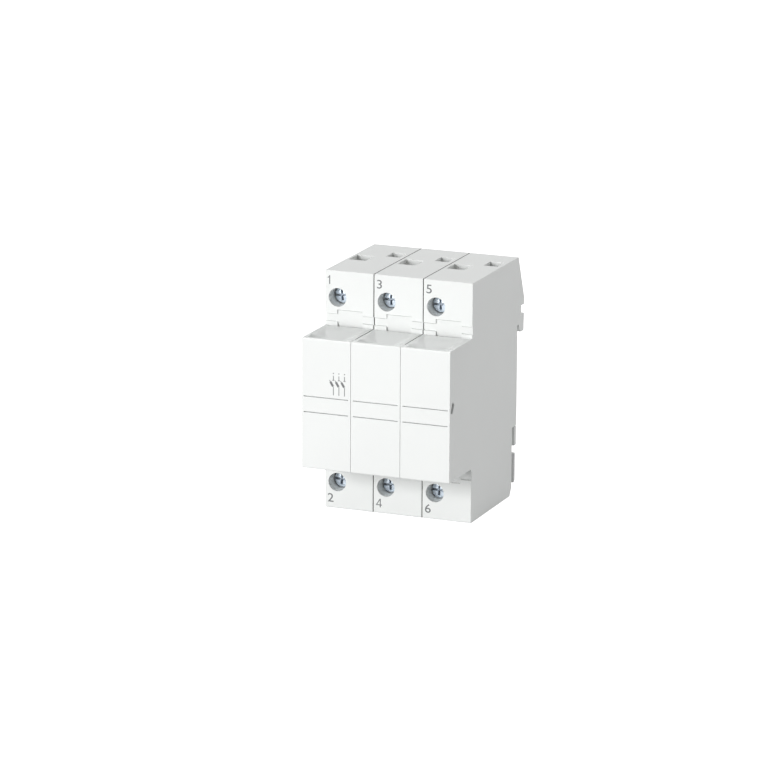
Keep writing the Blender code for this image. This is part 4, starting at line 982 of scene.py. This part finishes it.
# Rail latches: slides of a slightly darker and tougher plastic at the bottom of the back. A
# screwdriver in the pull slot draws one down against its spring.
LATCH_COLOUR = (0.785, 0.798, 0.790)
LATCH_EDGE = 0.00018
LATCH_ENDS = (-0.0388, -0.0178)
LATCH_GROOVE_DEPTH = 0.0015
LATCH_GROOVE_SPAN = (-0.0039, -0.0021)
LATCH_TIP = ((-0.0038, -0.0389), (0.0004, -0.0392), (0.0004, -0.0356))

latch_plastic = moulded_plastic("grey_polyamide", LATCH_COLOUR, roughness=0.50, grain=0.30)
for pole, pole_x in POLES.items():
    front, back = LATCH_GROOVE_SPAN
    bottom, top = LATCH_ENDS
    outside = HALF_POLE + BEYOND
    cutters = [drawn_along_x("latch_tip", LATCH_TIP, pole_x - outside, pole_x + outside)]
    for side in (-1, 1):
        left, right = sorted((pole_x + side * (HALF_POLE - LATCH_GROOVE_DEPTH), pole_x + side * outside))
        cutters.append(block("latch_groove", (left, front, bottom - BEYOND), (right, back, top + BEYOND)))
    latch = break_edges(worked(merged_copy(f"rail_latch_{pole}"), cutters), LATCH_EDGE)
    finish_piece(
        f"latch_{pole}", as_mesh(latch, f"latch_{pole}"), latch_plastic, f"rail_latch_{pole}", "latch_plastic",
        f"rail_latch_{pole}",
    )

# Printing: grey pad-printed terminal numbers beside the screws, and the circuit symbol of a
# three-pole fuse switch on the first drawer. The ink stands a hundredth of a millimetre proud.
# The numbers 1 and 4 are drawn, because those of the built-in font look different.
INK_COLOUR = (0.17, 0.175, 0.18)
INK_TINTS = (0.85, 1.20)
INK_SCALE = 2600
INK_ROUGHNESS = 0.55
INK_DEPTH = 0.00002
INK_PROUD = 0.000012
NUMBER_LEFT = -0.0078
NUMBER_LEVELS = {"upper": 0.0366, "lower": -0.03935}
NUMBER_HEIGHT = 0.0030
NUMBER_STRETCH = 1.14
NUMBER_WEIGHT = 0.003
NUMBER_STEPS = 8
NUMBER_MERGE = 0.0000003
DRAWN_ONE = [
    (0.00042, 0), (0.00078, 0), (0.00078, 0.0030), (0.00050, 0.0030), (0.00040, 0.00275), (0.00020, 0.00252),
    (-0.00012, 0.00235), (-0.00012, 0.00206), (0.00020, 0.00218), (0.00042, 0.00235),
]
DRAWN_FOUR = [  # start, end and width of each bar
    ((0.00014, 0.00086), (0.00142, 0.0029), 0.00030), ((0, 0.00082), (0.00208, 0.00082), 0.00030),
    ((0.00150, 0), (0.00150, 0.0030), 0.00034),
]
SYMBOL_MIDDLE = -0.0151
SYMBOL_SPACING = 0.0020
SYMBOL_BARS = [
    ((0, 0.0037), (0, 0.0066), 0.00026),
    ((-0.00012, 0.0067), (-0.00110, 0.0083), 0.00080),
    ((-0.00110, 0.0083), (-0.00138, 0.0088), 0.00024),
    ((-0.00036, 0.00885), (0.00036, 0.00885), 0.00026),
    ((0, 0.0090), (0, 0.0104), 0.00026),
    ((-0.00018, 0.0112), (0.00018, 0.0112), 0.00036),
]


def pad_ink(name, colour):
    """Pad-printing ink: a thin semi-matt film that is a little uneven."""
    material, tree, shader = new_material(name)
    darker, lighter = INK_TINTS
    film = noise(tree, object_place(tree), INK_SCALE, 2)
    mix = colour_mix(tree, film, rgba(colour, darker), rgba(colour, lighter))
    feed(shader, {"Base Color": mix, "Roughness": INK_ROUGHNESS})
    return material


def printed_number(text, left, level):
    """A number as a thin closed plate on the terminal front, its lower left corner given."""
    curve = bpy.data.curves.new("number", "FONT")
    curve.body = text
    curve.resolution_u = NUMBER_STEPS
    curve.extrude = 1
    curve.offset = NUMBER_WEIGHT
    mesh = as_mesh(put("number", curve), "number")
    low = [min(vert.co[axis] for vert in mesh.vertices) for axis in range(3)]
    high = [max(vert.co[axis] for vert in mesh.vertices) for axis in range(3)]
    scale = NUMBER_HEIGHT / (high[1] - low[1])
    thin = INK_DEPTH / (high[2] - low[2])
    front = TERMINAL_FRONT - INK_PROUD
    for vert in mesh.vertices:
        x, y, z = vert.co
        vert.co = (
            left + (x - low[0]) * scale * NUMBER_STRETCH, front + (high[2] - z) * thin, level + (y - low[1]) * scale
        )
    bm = bmesh.new()
    bm.from_mesh(mesh)
    bmesh.ops.remove_doubles(bm, verts=bm.verts, dist=NUMBER_MERGE)
    bmesh.ops.recalc_face_normals(bm, faces=bm.faces)
    return mesh_of(bm, "number")


def printed_patch(ring):
    """A patch of ink with an outline of (x, z) points, as a thin closed plate."""
    return solid_through("patch", [[(x, depth, z) for x, z in ring] for depth in (0, INK_DEPTH)])


def printed_bar(start, end, width):
    """A straight bar of ink between two points."""
    start, end = Vector(start), Vector(end)
    side = (end - start).orthogonal().normalized() * width / 2
    return printed_patch([start - side, start + side, end + side, end - side])


ink = pad_ink("grey_ink", INK_COLOUR)
numbers = []
for pole, pole_x in POLES.items():
    for word, number in (("upper", 2 * pole - 1), ("lower", 2 * pole)):
        left, level = pole_x + NUMBER_LEFT, NUMBER_LEVELS[word]
        if number in (1, 4):
            drawn = [printed_patch(DRAWN_ONE)] if number == 1 else [printed_bar(*bar) for bar in DRAWN_FOUR]
            for patch in drawn:
                patch.transform(Matrix.Translation((left, TERMINAL_FRONT - INK_PROUD, level)))
            numbers += drawn
        else:
            numbers.append(printed_number(str(number), left, level))
finish_piece("terminal_numbers", one_mesh("terminal_numbers", numbers), ink, "housing", "housing_plastic")

symbol_tree, size = new_tree("symbol_poles", {"Poles": "Int", "Spacing": "Float", "First": "Vector"})
symbols = instances(symbol_tree, size["Poles"], size["First"], size["Spacing"], size["Blank"])
close_tree(symbol_tree, symbols, size["Finish"])

symbol_pole = one_mesh("symbol_pole", [printed_bar(*bar) for bar in SYMBOL_BARS])
symbol_mesh = grown("circuit_symbol", symbol_tree, symbol_pole, {
    "Poles": len(POLES), "Spacing": SYMBOL_SPACING, "First": (SYMBOL_MIDDLE, DRAWER_FRONT - INK_PROUD, 0),
    "Finish": ink,
})
finish_piece("circuit_symbol", symbol_mesh, ink, "fuse_drawers", "drawer_plastic")
